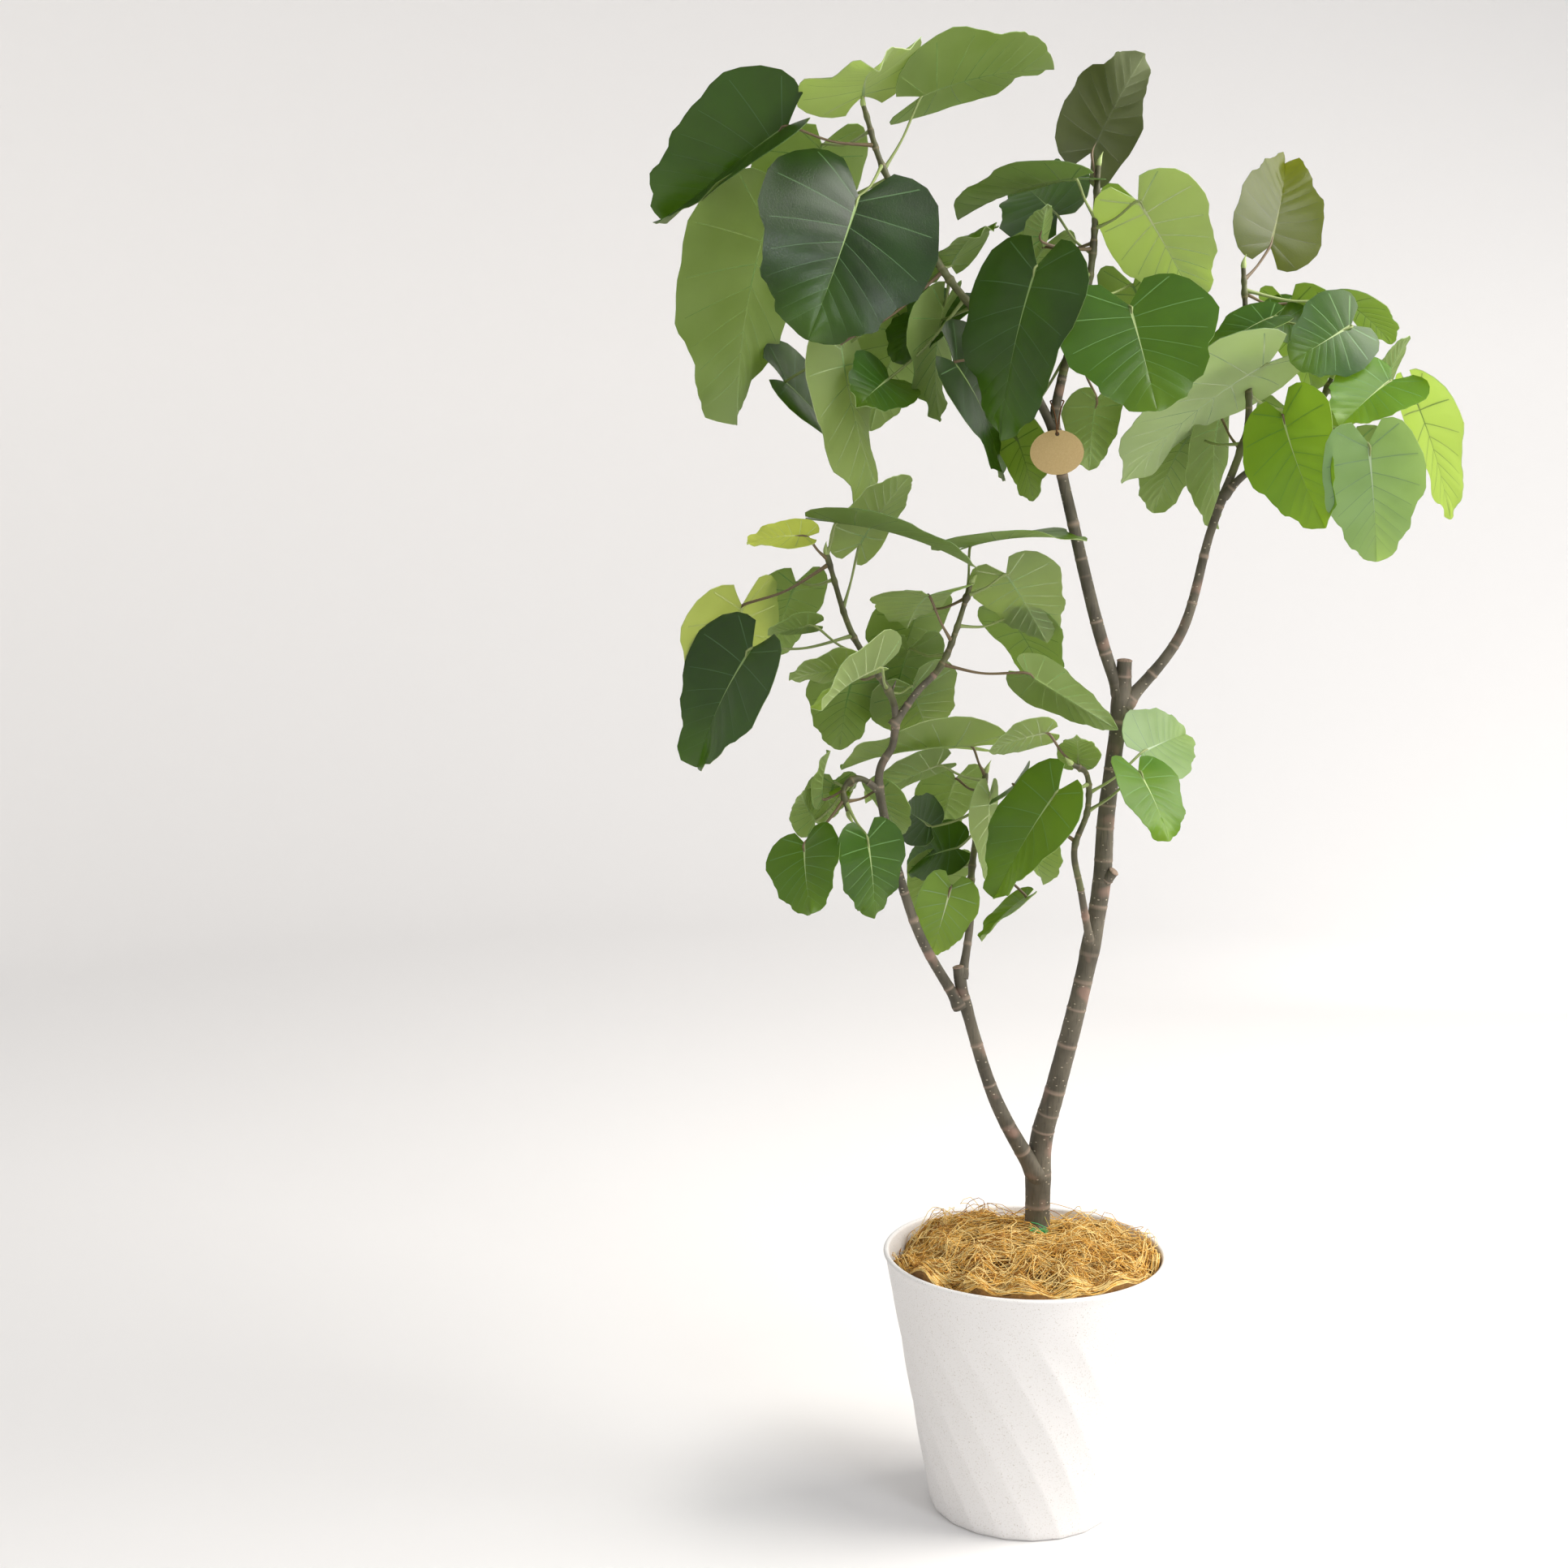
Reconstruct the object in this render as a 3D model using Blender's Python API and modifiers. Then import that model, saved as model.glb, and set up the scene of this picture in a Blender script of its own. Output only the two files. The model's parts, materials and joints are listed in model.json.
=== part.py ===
"""A potted Ficus umbellata: a white twisted pot of coir, a forked trunk and masses of heart-shaped leaves.

The origin is the centre of the pot's flat underside. +X is to the right and -Y towards the viewer.
"""

import math
import random
from collections import namedtuple

import bmesh
import bpy
import numpy as np
from mathutils import Matrix, Vector
from mathutils.bvhtree import BVHTree

# Lengths are in metres, or in millimetres where a name ends in _MM or a chart says so. Angles are degrees.
MM = 0.001
CLEAR = 0.0003
SEED = 7

POT_HEIGHT = 0.280
RIM_RADIUS = 0.150
FOOT_RADIUS = 0.098
POT_WALL = 0.006
POT_FLOOR = 0.008
FOOT_ROUND = 0.004
LIP_BULGE = 0.0012
POT_FACETS = 20
FACET_TWIST = 62.0
SMOOTH_BAND = 0.030
FACET_FADE = 0.030
TURN_STEPS = 2 * POT_FACETS

COIR_SEAT = 0.290
COIR_EDGE = 0.2705
COIR_SEAT_RADIUS = 0.062
COIR_SLOPE = 0.055
COIR_LUMP = 0.0035

BARK_SIDES = 1
LIMB_STEP_MM = 22.0

# A shoot's route runs from inside its parent to its tip. Up to the length bare it is a bough, beyond it a
# mass.
# Besides the leaves in the chart below, far leaves grow on its far side by a rule.
Shoot = namedtuple("Shoot", "bough mass parent bare far points radii")

TRUNK_POINTS_MM = (
    (13, 30, 302), (15, 24, 387), (30, 16, 453), (49, 10, 535), (64, 8, 609), (74, 10, 677),
    (77, 10, 742), (84, 10, 807), (91, 10, 871), (93, 10, 907),
)
TRUNK_RADII_MM = (13.5, 12.2, 10.8, 10.0, 9.2, 9.6, 9.0, 8.4, 8.2, 7.6)
TRUNK_FLARE_MM = 15.5

LEFT_BOUGH_POINTS_MM = ((14, 24, 352), (-21, -2, 419), (-43, -10, 473), (-66, -18, 553), (-73, -20, 589))
LEFT_BOUGH_RADII_MM = (9.0, 7.9, 6.6, 6.0, 5.6)

SHOOTS = {
    "leader": Shoot(
        "leader_bough", "crown_centre", "trunk", 338, 4,
        ((90, 10, 868), (67, 5, 935), (41, 0, 1035), (19, 0, 1135), (25, 0, 1195), (50, 0, 1289),
         (57, 0, 1400)),
        (5.8, 6.6, 6.0, 5.4, 4.6, 3.6, 2.6),
    ),
    "right": Shoot(
        "right_bough", "right_crown", "trunk", 262, 4,
        ((93, 10, 860), (150, 20, 935), (178, 30, 1038), (206, 30, 1120), (213, 30, 1150), (211, 30, 1206),
         (204, 30, 1302)),
        (6.4, 5.2, 4.4, 4.0, 3.6, 3.2, 2.4),
    ),
    "upper_left": Shoot(
        "upper_left_bough", "upper_left_crown", "leader", 120, 5,
        ((20, 0, 1136), (-14, -6, 1197), (-52, -14, 1245), (-99, -20, 1303), (-152, -30, 1390),
         (-175, -30, 1457)),
        (4.6, 4.3, 4.0, 3.6, 3.0, 2.4),
    ),
    "right_side": Shoot(
        "right_side_bough", "right_side_foliage", "right", 55, 3,
        ((190, 30, 1074), (210, 22, 1096), (240, 6, 1116), (272, -10, 1151), (288, -20, 1190)),
        (4.0, 3.7, 3.4, 2.9, 2.4),
    ),
    "outer": Shoot(
        "left_outer_bough", "mid_left_foliage", "left_bough", 340, 3,
        ((-70, -19, 546), (-118, -40, 640), (-154, -50, 779), (-140, -50, 827), (-142, -50, 872),
         (-181, -70, 938), (-204, -100, 1018)),
        (5.6, 5.0, 4.4, 3.9, 3.6, 3.0, 2.3),
    ),
    "inner_right": Shoot(
        "middle_bough", "mid_right_foliage", "outer", 68, 3,
        ((-141, -50, 843), (-117, -45, 877), (-89, -40, 911), (-64, -20, 986)),
        (4.0, 3.6, 3.2, 2.3),
    ),
    "inner": Shoot(
        "left_inner_bough", "inner_foliage", "left_bough", 92, 3,
        ((-69, -19, 577), (-62, 0, 629), (-61, 20, 686), (-48, 40, 785)),
        (4.4, 4.0, 3.6, 2.5),
    ),
    "low_right": Shoot(
        "low_right_bough", "low_right_foliage", "trunk", 78, 0,
        ((64, 6, 608), (52, -30, 673), (44, -50, 719), (56, -60, 760), (55, -70, 798), (39, -80, 811)),
        (4.2, 3.6, 3.2, 2.9, 2.6, 2.2),
    ),
    "low_left": Shoot(
        "low_left_bough", "low_left_foliage", "outer", 16, 2,
        ((-153, -50, 777), (-174, -58, 790), (-189, -66, 780), (-184, -72, 757)),
        (3.4, 3.0, 2.6, 2.2),
    ),
}

# One row is one leaf. Its stalk leaves the shoot's route at the length at, in mm, towards a heading and a rise,
# and is stalk mm long. Its blade points towards face, pitched up or down and rolled, and is size mm long.
# Headings: 0 is to the right, 90 away from the viewer, 180 to the left and 270 towards the viewer.
Leaf = namedtuple("Leaf", "at heading rise stalk face pitch roll size fold wide", defaults=(8, 0.85))

LEAVES = {
    "upper_left": (
        Leaf(340, 200, 10, 90, 155, -25, -75, 175, 40, 0.7),
        Leaf(320, 255, -30, 80, 250, -55, -40, 150, 8, 1.05),
        Leaf(305, 175, -15, 125, 165, -70, 20, 205, 8, 0.75),
        Leaf(370, 135, 75, 20, 275, 10, 20, 165, 8, 0.7),
        Leaf(315, 35, 60, 85, 20, 25, -25, 135, 8, 0.9), Leaf(210, 165, -35, 200, 50, -30, 50, 145, 8, 0.75),
        Leaf(200, 185, -35, 125, 50, -80, -105, 170, 8, 0.6),
        Leaf(165, 170, -45, 110, 255, -15, -40, 75, 8, 0.9),
        Leaf(215, 80, 0, 75, 290, 30, 25, 90), Leaf(190, 95, -10, 85, 225, -35, -15, 90),
        Leaf(190, 100, -30, 45, 145, -70, -15, 115),
    ),
    "leader": (
        Leaf(525, 160, 80, 35, 25, 65, -70, 105, 8, 0.9), Leaf(495, 235, 45, 50, 160, 0, 5, 125, 8, 0.7),
        Leaf(460, 115, 30, 95, 120, 30, -50, 105), Leaf(465, 210, 5, 60, 275, 60, 30, 40, 30),
        Leaf(485, 325, 25, 55, 40, -45, -35, 120, 8, 0.8),
        Leaf(440, 240, 0, 105, 205, -70, -30, 165, 8, 0.7),
        Leaf(385, 195, -15, 130, 50, -40, 70, 160, 8, 0.7),
        Leaf(365, 145, -50, 105, 345, -65, -60, 75, 8, 0.8),
        Leaf(400, 295, 0, 105, 285, -45, 15, 125, 8, 1.05), Leaf(375, 25, -65, 65, 105, -55, -5, 75, 8, 0.75),
    ),
    "right": (
        Leaf(460, 40, 45, 50, 60, 60, 45, 120, 8, 0.7), Leaf(450, 10, -5, 100, 30, -20, 0, 75, 8, 0.9),
        Leaf(430, 335, -10, 110, 220, -25, -70, 75, 8, 1.0), Leaf(415, 60, 15, 60, 345, -25, 45, 65),
        Leaf(420, 300, 0, 45, 190, -20, -25, 70), Leaf(380, 285, -5, 60, 150, -25, 10, 190, 8, 0.7),
        Leaf(290, 110, 35, 65, 115, -65, -35, 120, 8, 0.7),
    ),
    "right_side": (
        Leaf(85, 255, 35, 50, 290, -60, 60, 120, 8, 0.75),
        Leaf(125, 300, -20, 90, 30, -80, 115, 115, 8, 0.75),
        Leaf(155, 355, 5, 60, 225, -25, -30, 80, 8, 0.95), Leaf(155, 15, -5, 90, 0, -65, -15, 125, 8, 0.8),
        Leaf(150, 40, 0, 80, 330, 75, 0, 60),
    ),
    "outer": (
        Leaf(505, 170, -25, 100, 120, -65, -20, 125, 8, 0.9),
        Leaf(425, 210, -5, 110, 175, -55, -60, 140, 8, 0.7), Leaf(400, 230, 25, 80, 190, -5, 30, 45),
        Leaf(510, 225, 40, 35, 180, 5, -35, 60, 8, 0.7),
        Leaf(515, 315, 65, 35, 5, -5, -5, 140), Leaf(455, 25, 75, 65, 345, 60, -20, 85, 8, 0.9),
        Leaf(390, 260, 0, 60, 185, 0, 40, 65, 8, 0.7), Leaf(360, 270, 20, 75, 230, -10, 40, 100, 20, 0.8),
        Leaf(355, 75, 0, 75, 80, -40, -30, 85, 8, 1.0),
    ),
    "inner_right": (
        Leaf(105, 215, 60, 55, 110, -10, -5, 90, 8, 1.0), Leaf(155, 0, 30, 45, 55, -40, -25, 95),
        Leaf(155, 85, 65, 55, 335, 15, 0, 125), Leaf(80, 355, -5, 85, 25, -30, -80, 110, 40, 0.5),
    ),
    "inner": (
        Leaf(215, 200, 65, 35, 195, 5, 20, 140), Leaf(210, 205, 20, 55, 175, -20, 30, 85, 8, 0.75),
        Leaf(205, 280, -5, 40, 205, -85, 45, 90, 8, 0.7), Leaf(150, 10, -50, 85, 195, -30, 0, 65, 8, 0.7),
        Leaf(180, 185, -20, 55, 130, 15, -65, 60),
        Leaf(160, 135, -40, 40, 160, -15, -55, 70), Leaf(105, 235, -5, 35, 200, -75, -75, 75, 8, 0.75),
    ),
    "low_right": (
        Leaf(225, 180, 50, 45, 180, -10, 45, 60, 8, 0.7), Leaf(220, 95, 20, 15, 265, 55, 0, 45),
        Leaf(200, 240, 0, 60, 175, -55, -45, 125, 8, 0.7), Leaf(135, 165, 40, 85, 100, -5, -45, 60),
        Leaf(190, 35, 30, 75, 55, 10, 55, 105, 8, 0.7), Leaf(170, 0, 40, 65, 305, -40, -5, 80, 8, 0.9),
    ),
    "low_left": (
        Leaf(55, 220, -40, 65, 275, -40, 30, 80, 8, 0.9), Leaf(60, 305, -35, 50, 15, -80, 70, 85, 8, 0.8),
        Leaf(40, 155, -45, 55, 240, 45, 70, 50), Leaf(35, 180, -30, 35, 265, 65, 80, 60, 20, 0.5),
        Leaf(30, 105, -20, 45, 140, 10, -45, 30),
    ),
}

FAR_HEADING = 88.0
FAR_SPREAD = 32.0
FAR_PITCH = -45.0
FAR_SIZE = 0.95
FAR_STALK = 0.85

LEAF_THICKNESS = 0.0024
LEAF_ROWS = (0.0, 0.09, 0.33, 0.66, 0.9, 1.0)
LEAF_TIP_POWER = 0.6
LEAF_COLUMNS = (-1.0, 0.0, 1.0)
LEAF_CURL = 22.0
CURL_VARIES = 8.0
STALK_RADIUS_MM = 2.0
STALK_SINK_MM = 12.0
STALK_END_MM = 0.5
STALK_SAG = 0.06
ROOT_CLEAR_MM = 9.0

TAG_CENTRE = Vector((0.0205, -0.0104, 1.118))
TAG_WIDE = 0.054
TAG_TALL = 0.045
TAG_THICK = 0.0016
TAG_HOLE_UP = 0.0185
TAG_HOLE_RADIUS = 0.0022
TIE_RADIUS = 0.0008
TIE_AT_MM = 312

PLANT = bpy.data.collections.new("potted_ficus_umbellata")
HELPERS = bpy.data.collections.new("helpers")


def material(name, colour, roughness, metallic=0.0):
    found = bpy.data.materials.get(name)
    if found:
        return found
    made = bpy.data.materials.new(name)
    made.use_nodes = True
    shader = made.node_tree.nodes["Principled BSDF"]
    shader.inputs["Base Color"].default_value = (*colour, 1.0)
    shader.inputs["Roughness"].default_value = roughness
    shader.inputs["Metallic"].default_value = metallic
    return made


def add_object(name, data, collection=None):
    made = bpy.data.objects.new(name, data)
    (collection or PLANT).objects.link(made)
    return made


def baked(obj, welded=True):
    """The object with its modifiers applied, as one mesh object in its place."""
    bpy.context.view_layer.update()
    graph = bpy.context.evaluated_depsgraph_get()
    mesh = bpy.data.meshes.new_from_object(obj.evaluated_get(graph))
    if welded:
        weld(mesh)
    name, place, homes = obj.name, obj.matrix_world.copy(), list(obj.users_collection)
    bpy.data.objects.remove(obj)
    made = bpy.data.objects.new(name, mesh)
    made.matrix_world = place
    for home in homes:
        home.objects.link(made)
    return made


def weld(mesh):
    shape = bmesh.new()
    shape.from_mesh(mesh)
    bmesh.ops.remove_doubles(shape, verts=shape.verts, dist=0.00001)
    bmesh.ops.recalc_face_normals(shape, faces=shape.faces)
    shape.to_mesh(mesh)
    shape.free()


def route(points, radii):
    """A smooth line through the points, in mm, as (place, radius) about every LIMB_STEP_MM."""
    ends = [Vector(p) for p in points]
    ends = [2 * ends[0] - ends[1], *ends, 2 * ends[-1] - ends[-2]]
    run = []
    for i in range(1, len(ends) - 2):
        a, b, c, d = ends[i - 1:i + 3]
        count = max(1, round((c - b).length / LIMB_STEP_MM))
        for k in range(count):
            t = k / count
            place = 0.5 * (2 * b + (c - a) * t + (2 * a - 5 * b + 4 * c - d) * t**2
                           + (3 * b - 3 * c + d - a) * t**3)
            radius = radii[i - 1] + (radii[i] - radii[i - 1]) * t
            run.append((place, radius))
    run.append((ends[-2], radii[-1]))
    return run


def lengths(run):
    total = [0.0]
    for (a, _), (b, _) in zip(run, run[1:]):
        total.append(total[-1] + (b - a).length)
    return total


def along(run, length):
    """The place, radius and direction at a length along the route."""
    total = lengths(run)
    length = min(max(length, 0.0), total[-1])
    i = max(k for k in range(len(run) - 1) if total[k] <= length)
    share = (length - total[i]) / (total[i + 1] - total[i])
    place = run[i][0].lerp(run[i + 1][0], share)
    radius = run[i][1] + (run[i + 1][1] - run[i][1]) * share
    return place, radius, (run[i + 1][0] - run[i][0]).normalized()


def stretch(run, start, end):
    """The part of the route between two lengths."""
    total = lengths(run)
    inside = [run[k] for k in range(len(run)) if start + 4 < total[k] < end - 4]
    return [along(run, start)[:2], *inside, along(run, end)[:2]]


def tube(name, run, collection=None, grow=0.0, sides=BARK_SIDES):
    """A tapering round limb along the route, as a closed mesh object."""
    curve = bpy.data.curves.new(name, "CURVE")
    curve.dimensions = "3D"
    curve.bevel_depth = MM
    curve.bevel_resolution = sides
    curve.use_fill_caps = True
    spline = curve.splines.new("POLY")
    spline.points.add(len(run) - 1)
    for point, (place, radius) in zip(spline.points, run):
        point.co = (*(place * MM), 1.0)
        point.radius = radius + grow
    return baked(add_object(name, curve, collection))


def direction(heading, rise):
    h, r = math.radians(heading), math.radians(rise)
    return Vector((math.cos(r) * math.cos(h), math.cos(r) * math.sin(h), math.sin(r)))


def blade_axes(leaf):
    """The matrix whose columns are the blade's length, its left side and its upper face's normal."""
    ahead = direction(leaf.face, leaf.pitch)
    right = direction(leaf.face - 90, 0)
    roll = math.radians(leaf.roll)
    normal = right.cross(ahead) * math.cos(roll) + right * math.sin(roll)
    return Matrix((ahead, normal.cross(ahead), normal)).transposed()


def blade_point(u, v, leaf, curl):
    """A heart-shaped blade of length 1: u runs along the midrib to the tip, v out along the side veins."""
    angle = math.radians(62 + 85 * math.exp(-u / 0.2) + 25 * (1 - abs(v)) * math.exp(-u / 0.1))
    reach = leaf.wide * (1 - u) ** LEAF_TIP_POWER * (0.30 + 0.42 * (1 - math.exp(-10 * u))) * abs(v)
    ahead, side = reach * math.cos(angle), math.copysign(reach * math.sin(angle), v)
    lift = abs(side) * math.sin(math.radians(leaf.fold))
    bend = math.radians(curl)
    x = math.sin(bend * u) / bend + ahead * math.cos(bend * u) + lift * math.sin(bend * u)
    z = (math.cos(bend * u) - 1) / bend - ahead * math.sin(bend * u) + lift * math.cos(bend * u)
    return Vector((x, side * math.cos(math.radians(leaf.fold)), z))


def blade(leaf, base, curl, collection):
    """One leaf blade as a thin closed solid: a grid laid on the heart's shape, and thickened."""
    shape = bmesh.new()
    rows, columns = len(LEAF_ROWS), len(LEAF_COLUMNS)
    bmesh.ops.create_grid(shape, x_segments=rows - 1, y_segments=columns - 1, size=1.0)
    axes = blade_axes(leaf)
    for vert in shape.verts:
        u = LEAF_ROWS[round((vert.co.x + 1) / 2 * (rows - 1))]
        v = LEAF_COLUMNS[round((vert.co.y + 1) / 2 * (columns - 1))]
        vert.co = (base + axes @ blade_point(u, v, leaf, curl) * leaf.size) * MM
    bmesh.ops.remove_doubles(shape, verts=shape.verts, dist=0.00001)
    mesh = bpy.data.meshes.new("blade")
    shape.to_mesh(mesh)
    shape.free()
    made = add_object("blade", mesh, collection)
    solid = made.modifiers.new("thickness", "SOLIDIFY")
    solid.thickness = LEAF_THICKNESS
    solid.offset = 0.0
    return baked(made)


def stalk_run(start, base, leaf, curl):
    """The stalk's route: a little sag, then sunk along the first of the midrib."""
    sag = Vector((0, 0, -leaf.stalk * STALK_SAG))
    axes = blade_axes(leaf)
    sunk = base + axes @ blade_point(STALK_SINK_MM / leaf.size, 0.0, leaf, curl) * leaf.size
    radius = STALK_RADIUS_MM
    return [(start, radius), (start.lerp(base, 0.5) + sag, radius), (base, radius), (sunk, STALK_END_MM)]


def join(obj, others, name):
    """Unites a collection of closed meshes with the object, and removes them."""
    joined = obj.modifiers.new("union", "BOOLEAN")
    joined.operation = "UNION"
    joined.operand_type = "COLLECTION"
    joined.collection = others
    joined.solver = "MANIFOLD"
    made = baked(obj, welded=False)
    made.name = name
    for other in list(others.objects):
        bpy.data.objects.remove(other)
    bpy.data.collections.remove(others)
    return made


def cut(obj, cutter):
    hole = obj.modifiers.new("cut", "BOOLEAN")
    hole.operation = "DIFFERENCE"
    hole.object = cutter
    hole.solver = "EXACT"
    made = baked(obj)
    bpy.data.objects.remove(cutter)
    return made


def outer_radius(z):
    return FOOT_RADIUS + (RIM_RADIUS - LIP_BULGE - FOOT_RADIUS) * z / POT_HEIGHT


def turned(name, profile):
    """A profile of (radius, height), run down its outer side, turned about the Z axis."""
    mesh = bpy.data.meshes.new(name)
    edges = [(i, i + 1) for i in range(len(profile) - 1)]
    mesh.from_pydata([(r, 0, z) for r, z in profile], edges, [])
    made = add_object(name, mesh)
    screw = made.modifiers.new("turn", "SCREW")
    screw.steps = TURN_STEPS
    screw.render_steps = TURN_STEPS
    screw.use_merge_vertices = True
    screw.merge_threshold = 0.00001
    return baked(made)


def arc(centre, radius, start, end, count):
    angles = [math.radians(start + (end - start) * k / count) for k in range(count + 1)]
    return [(centre[0] + radius * math.cos(a), centre[1] + radius * math.sin(a)) for a in angles]


def build_pot():
    lip = POT_WALL / 2
    rim_centre = (RIM_RADIUS - lip, POT_HEIGHT - lip)
    inner_top = (RIM_RADIUS - POT_WALL, POT_HEIGHT - lip - 0.002)
    floor_inner = (outer_radius(POT_FLOOR) - POT_WALL, POT_FLOOR)
    facet_heights = [POT_HEIGHT - SMOOTH_BAND * s for s in (0.4, 1.0)]
    facet_heights += list(np.linspace(POT_HEIGHT - SMOOTH_BAND - FACET_FADE, FOOT_ROUND + 0.002, 6))
    profile = [(0, POT_FLOOR), floor_inner, inner_top, *arc(rim_centre, lip, 180, 0, 4)]
    profile += [(outer_radius(z), z) for z in facet_heights]
    profile += [(outer_radius(0) - FOOT_ROUND * 0.3, FOOT_ROUND * 0.3)]
    profile += [(outer_radius(0) - FOOT_ROUND, 0), (0, 0)]
    pot = turned("pot", profile)
    band = POT_HEIGHT - SMOOTH_BAND
    flat = 1 - math.cos(math.pi / POT_FACETS)
    for vert in pot.data.vertices:
        radius = math.hypot(vert.co.x, vert.co.y)
        if radius < outer_radius(vert.co.z) - POT_WALL / 2 or vert.co.z >= band:
            continue
        share = min(1.0, (band - vert.co.z) / FACET_FADE)
        angle = math.atan2(vert.co.y, vert.co.x)
        is_mid = round(angle / math.tau * TURN_STEPS) % 2
        radius *= 1 - flat * share * is_mid
        angle += math.radians(FACET_TWIST) * (1 - vert.co.z / band)
        vert.co.x, vert.co.y = radius * math.cos(angle), radius * math.sin(angle)
    pot.data.materials.append(material("white_pot", (0.80, 0.80, 0.79), 0.75))


def build_coir():
    """The pot's filling, up to its lumpy surface, with a level seat for the trunk."""
    edge = RIM_RADIUS - POT_WALL - CLEAR
    floor = POT_FLOOR + CLEAR
    slope = (edge - (outer_radius(POT_FLOOR) - POT_WALL - CLEAR)) / (POT_HEIGHT - POT_FLOOR)
    rings = ((0.0, 0.0), (COIR_SEAT_RADIUS, 0.0), (0.092, 0.25), (0.118, 0.6), (edge, 1.0))
    profile = []
    for radius, share in rings:
        z = COIR_SEAT + (COIR_EDGE - COIR_SEAT) * share
        profile.append((min(radius, edge - slope * (POT_HEIGHT - z) - CLEAR), z))
    profile += [(outer_radius(floor) - POT_WALL - CLEAR, floor), (0, floor)]
    coir = turned("coir_fill", profile)
    chance = random.Random(SEED)
    for vert in coir.data.vertices:
        radius = math.hypot(vert.co.x, vert.co.y)
        if radius < COIR_SEAT_RADIUS + 0.001 or vert.co.z < POT_HEIGHT / 2:
            continue
        share = (radius - COIR_SEAT_RADIUS) / (edge - COIR_SEAT_RADIUS)
        vert.co.z -= COIR_SLOPE * vert.co.y * share
        if radius < 0.125:
            vert.co.z += chance.uniform(-COIR_LUMP, COIR_LUMP)
    coir.data.materials.append(material("coir", (0.36, 0.22, 0.08), 0.95))


def bark(obj):
    obj.data.materials.append(material("bark", (0.24, 0.19, 0.14), 0.85))
    obj.data.shade_smooth()
    obj.data.set_sharp_from_angle(angle=math.radians(40))


def build_trunk(routes):
    bark(tube("trunk", routes["trunk"]))


def build_boughs(routes):
    bough = tube("left_bough", routes["left_bough"])
    bark(cut(bough, tube("cutter", routes["trunk"], HELPERS, grow=CLEAR / MM * 1.2)))
    for name, shoot in SHOOTS.items():
        bough = tube(shoot.bough, stretch(routes[name], 0, shoot.bare))
        cutter = tube("cutter", routes[shoot.parent], HELPERS, grow=CLEAR / MM * 1.2)
        bark(cut(bough, cutter))


def charted_leaves(name, shoot):
    return [leaf._replace(at=max(leaf.at, shoot.bare + ROOT_CLEAR_MM)) for leaf in LEAVES[name]]


def far_leaves(name, shoot, end, chance):
    """Leaves spaced along the shoot, their stalks fanned away from the viewer and their blades drooping."""
    size = FAR_SIZE * sum(leaf.size for leaf in LEAVES[name]) / len(LEAVES[name])
    first = shoot.bare + ROOT_CLEAR_MM
    leaves = []
    for k in range(shoot.far):
        at = first + (end - first) * (k + 0.5) / shoot.far
        heading = FAR_HEADING + FAR_SPREAD * (-1) ** k + chance.uniform(-8, 8)
        rise = chance.uniform(-12, 12)
        pitch = FAR_PITCH + chance.uniform(-8, 8)
        leaves.append(Leaf(at, heading, rise, size * FAR_STALK, heading, pitch, 0, size))
    return leaves


def surface(obj):
    points = [obj.matrix_world @ vert.co for vert in obj.data.vertices]
    return BVHTree.FromPolygons(points, [face.vertices[:] for face in obj.data.polygons])


def grow_leaf(leaf, run, curl, parts, blocked):
    """Adds a leaf's stalk and blade to the mass's parts, unless one of them touches what is blocked."""
    start = along(run, leaf.at)[0]
    base = start + direction(leaf.heading, leaf.rise) * leaf.stalk
    pieces = [tube("stalk", stalk_run(start, base, leaf, curl), parts, sides=0)]
    pieces += [blade(leaf, base, curl, parts)]
    grown = [surface(piece) for piece in pieces]
    if any(tree.overlap(other) for tree in grown for other in blocked):
        for piece in pieces:
            bpy.data.objects.remove(piece)
        return []
    return grown


def build_masses(routes):
    """The masses of foliage: each is one stem with its stalks and blades, fused.

    The charted leaves of every mass grow first, then the far leaves, and one that would touch a limb or
    another mass is left out.
    """
    limbs = [surface(obj) for obj in PLANT.all_objects]
    chances = {name: random.Random(shoot.mass) for name, shoot in SHOOTS.items()}
    stems, parts, grown = {}, {}, {}
    for name, shoot in SHOOTS.items():
        end = lengths(routes[name])[-1]
        stems[name] = tube(shoot.mass + "_stem", stretch(routes[name], shoot.bare + CLEAR / MM, end))
        parts[name] = bpy.data.collections.new(shoot.mass + "_parts")
        bpy.context.scene.collection.children.link(parts[name])
        grown[name] = [surface(stems[name])]

    def grow(name, leaves):
        blocked = limbs + [tree for other in SHOOTS if other != name for tree in grown[other]]
        for leaf in leaves:
            curl = LEAF_CURL + chances[name].uniform(-CURL_VARIES, CURL_VARIES)
            grown[name] += grow_leaf(leaf, routes[name], curl, parts[name], blocked)

    for name, shoot in SHOOTS.items():
        grow(name, charted_leaves(name, shoot))
    for name, shoot in SHOOTS.items():
        grow(name, far_leaves(name, shoot, lengths(routes[name])[-1], chances[name]))
    for name, shoot in SHOOTS.items():
        mass = join(stems[name], parts[name], shoot.mass)
        mass.data.materials.clear()
        mass.data.materials.append(material("foliage", (0.10, 0.22, 0.05), 0.5))


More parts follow.
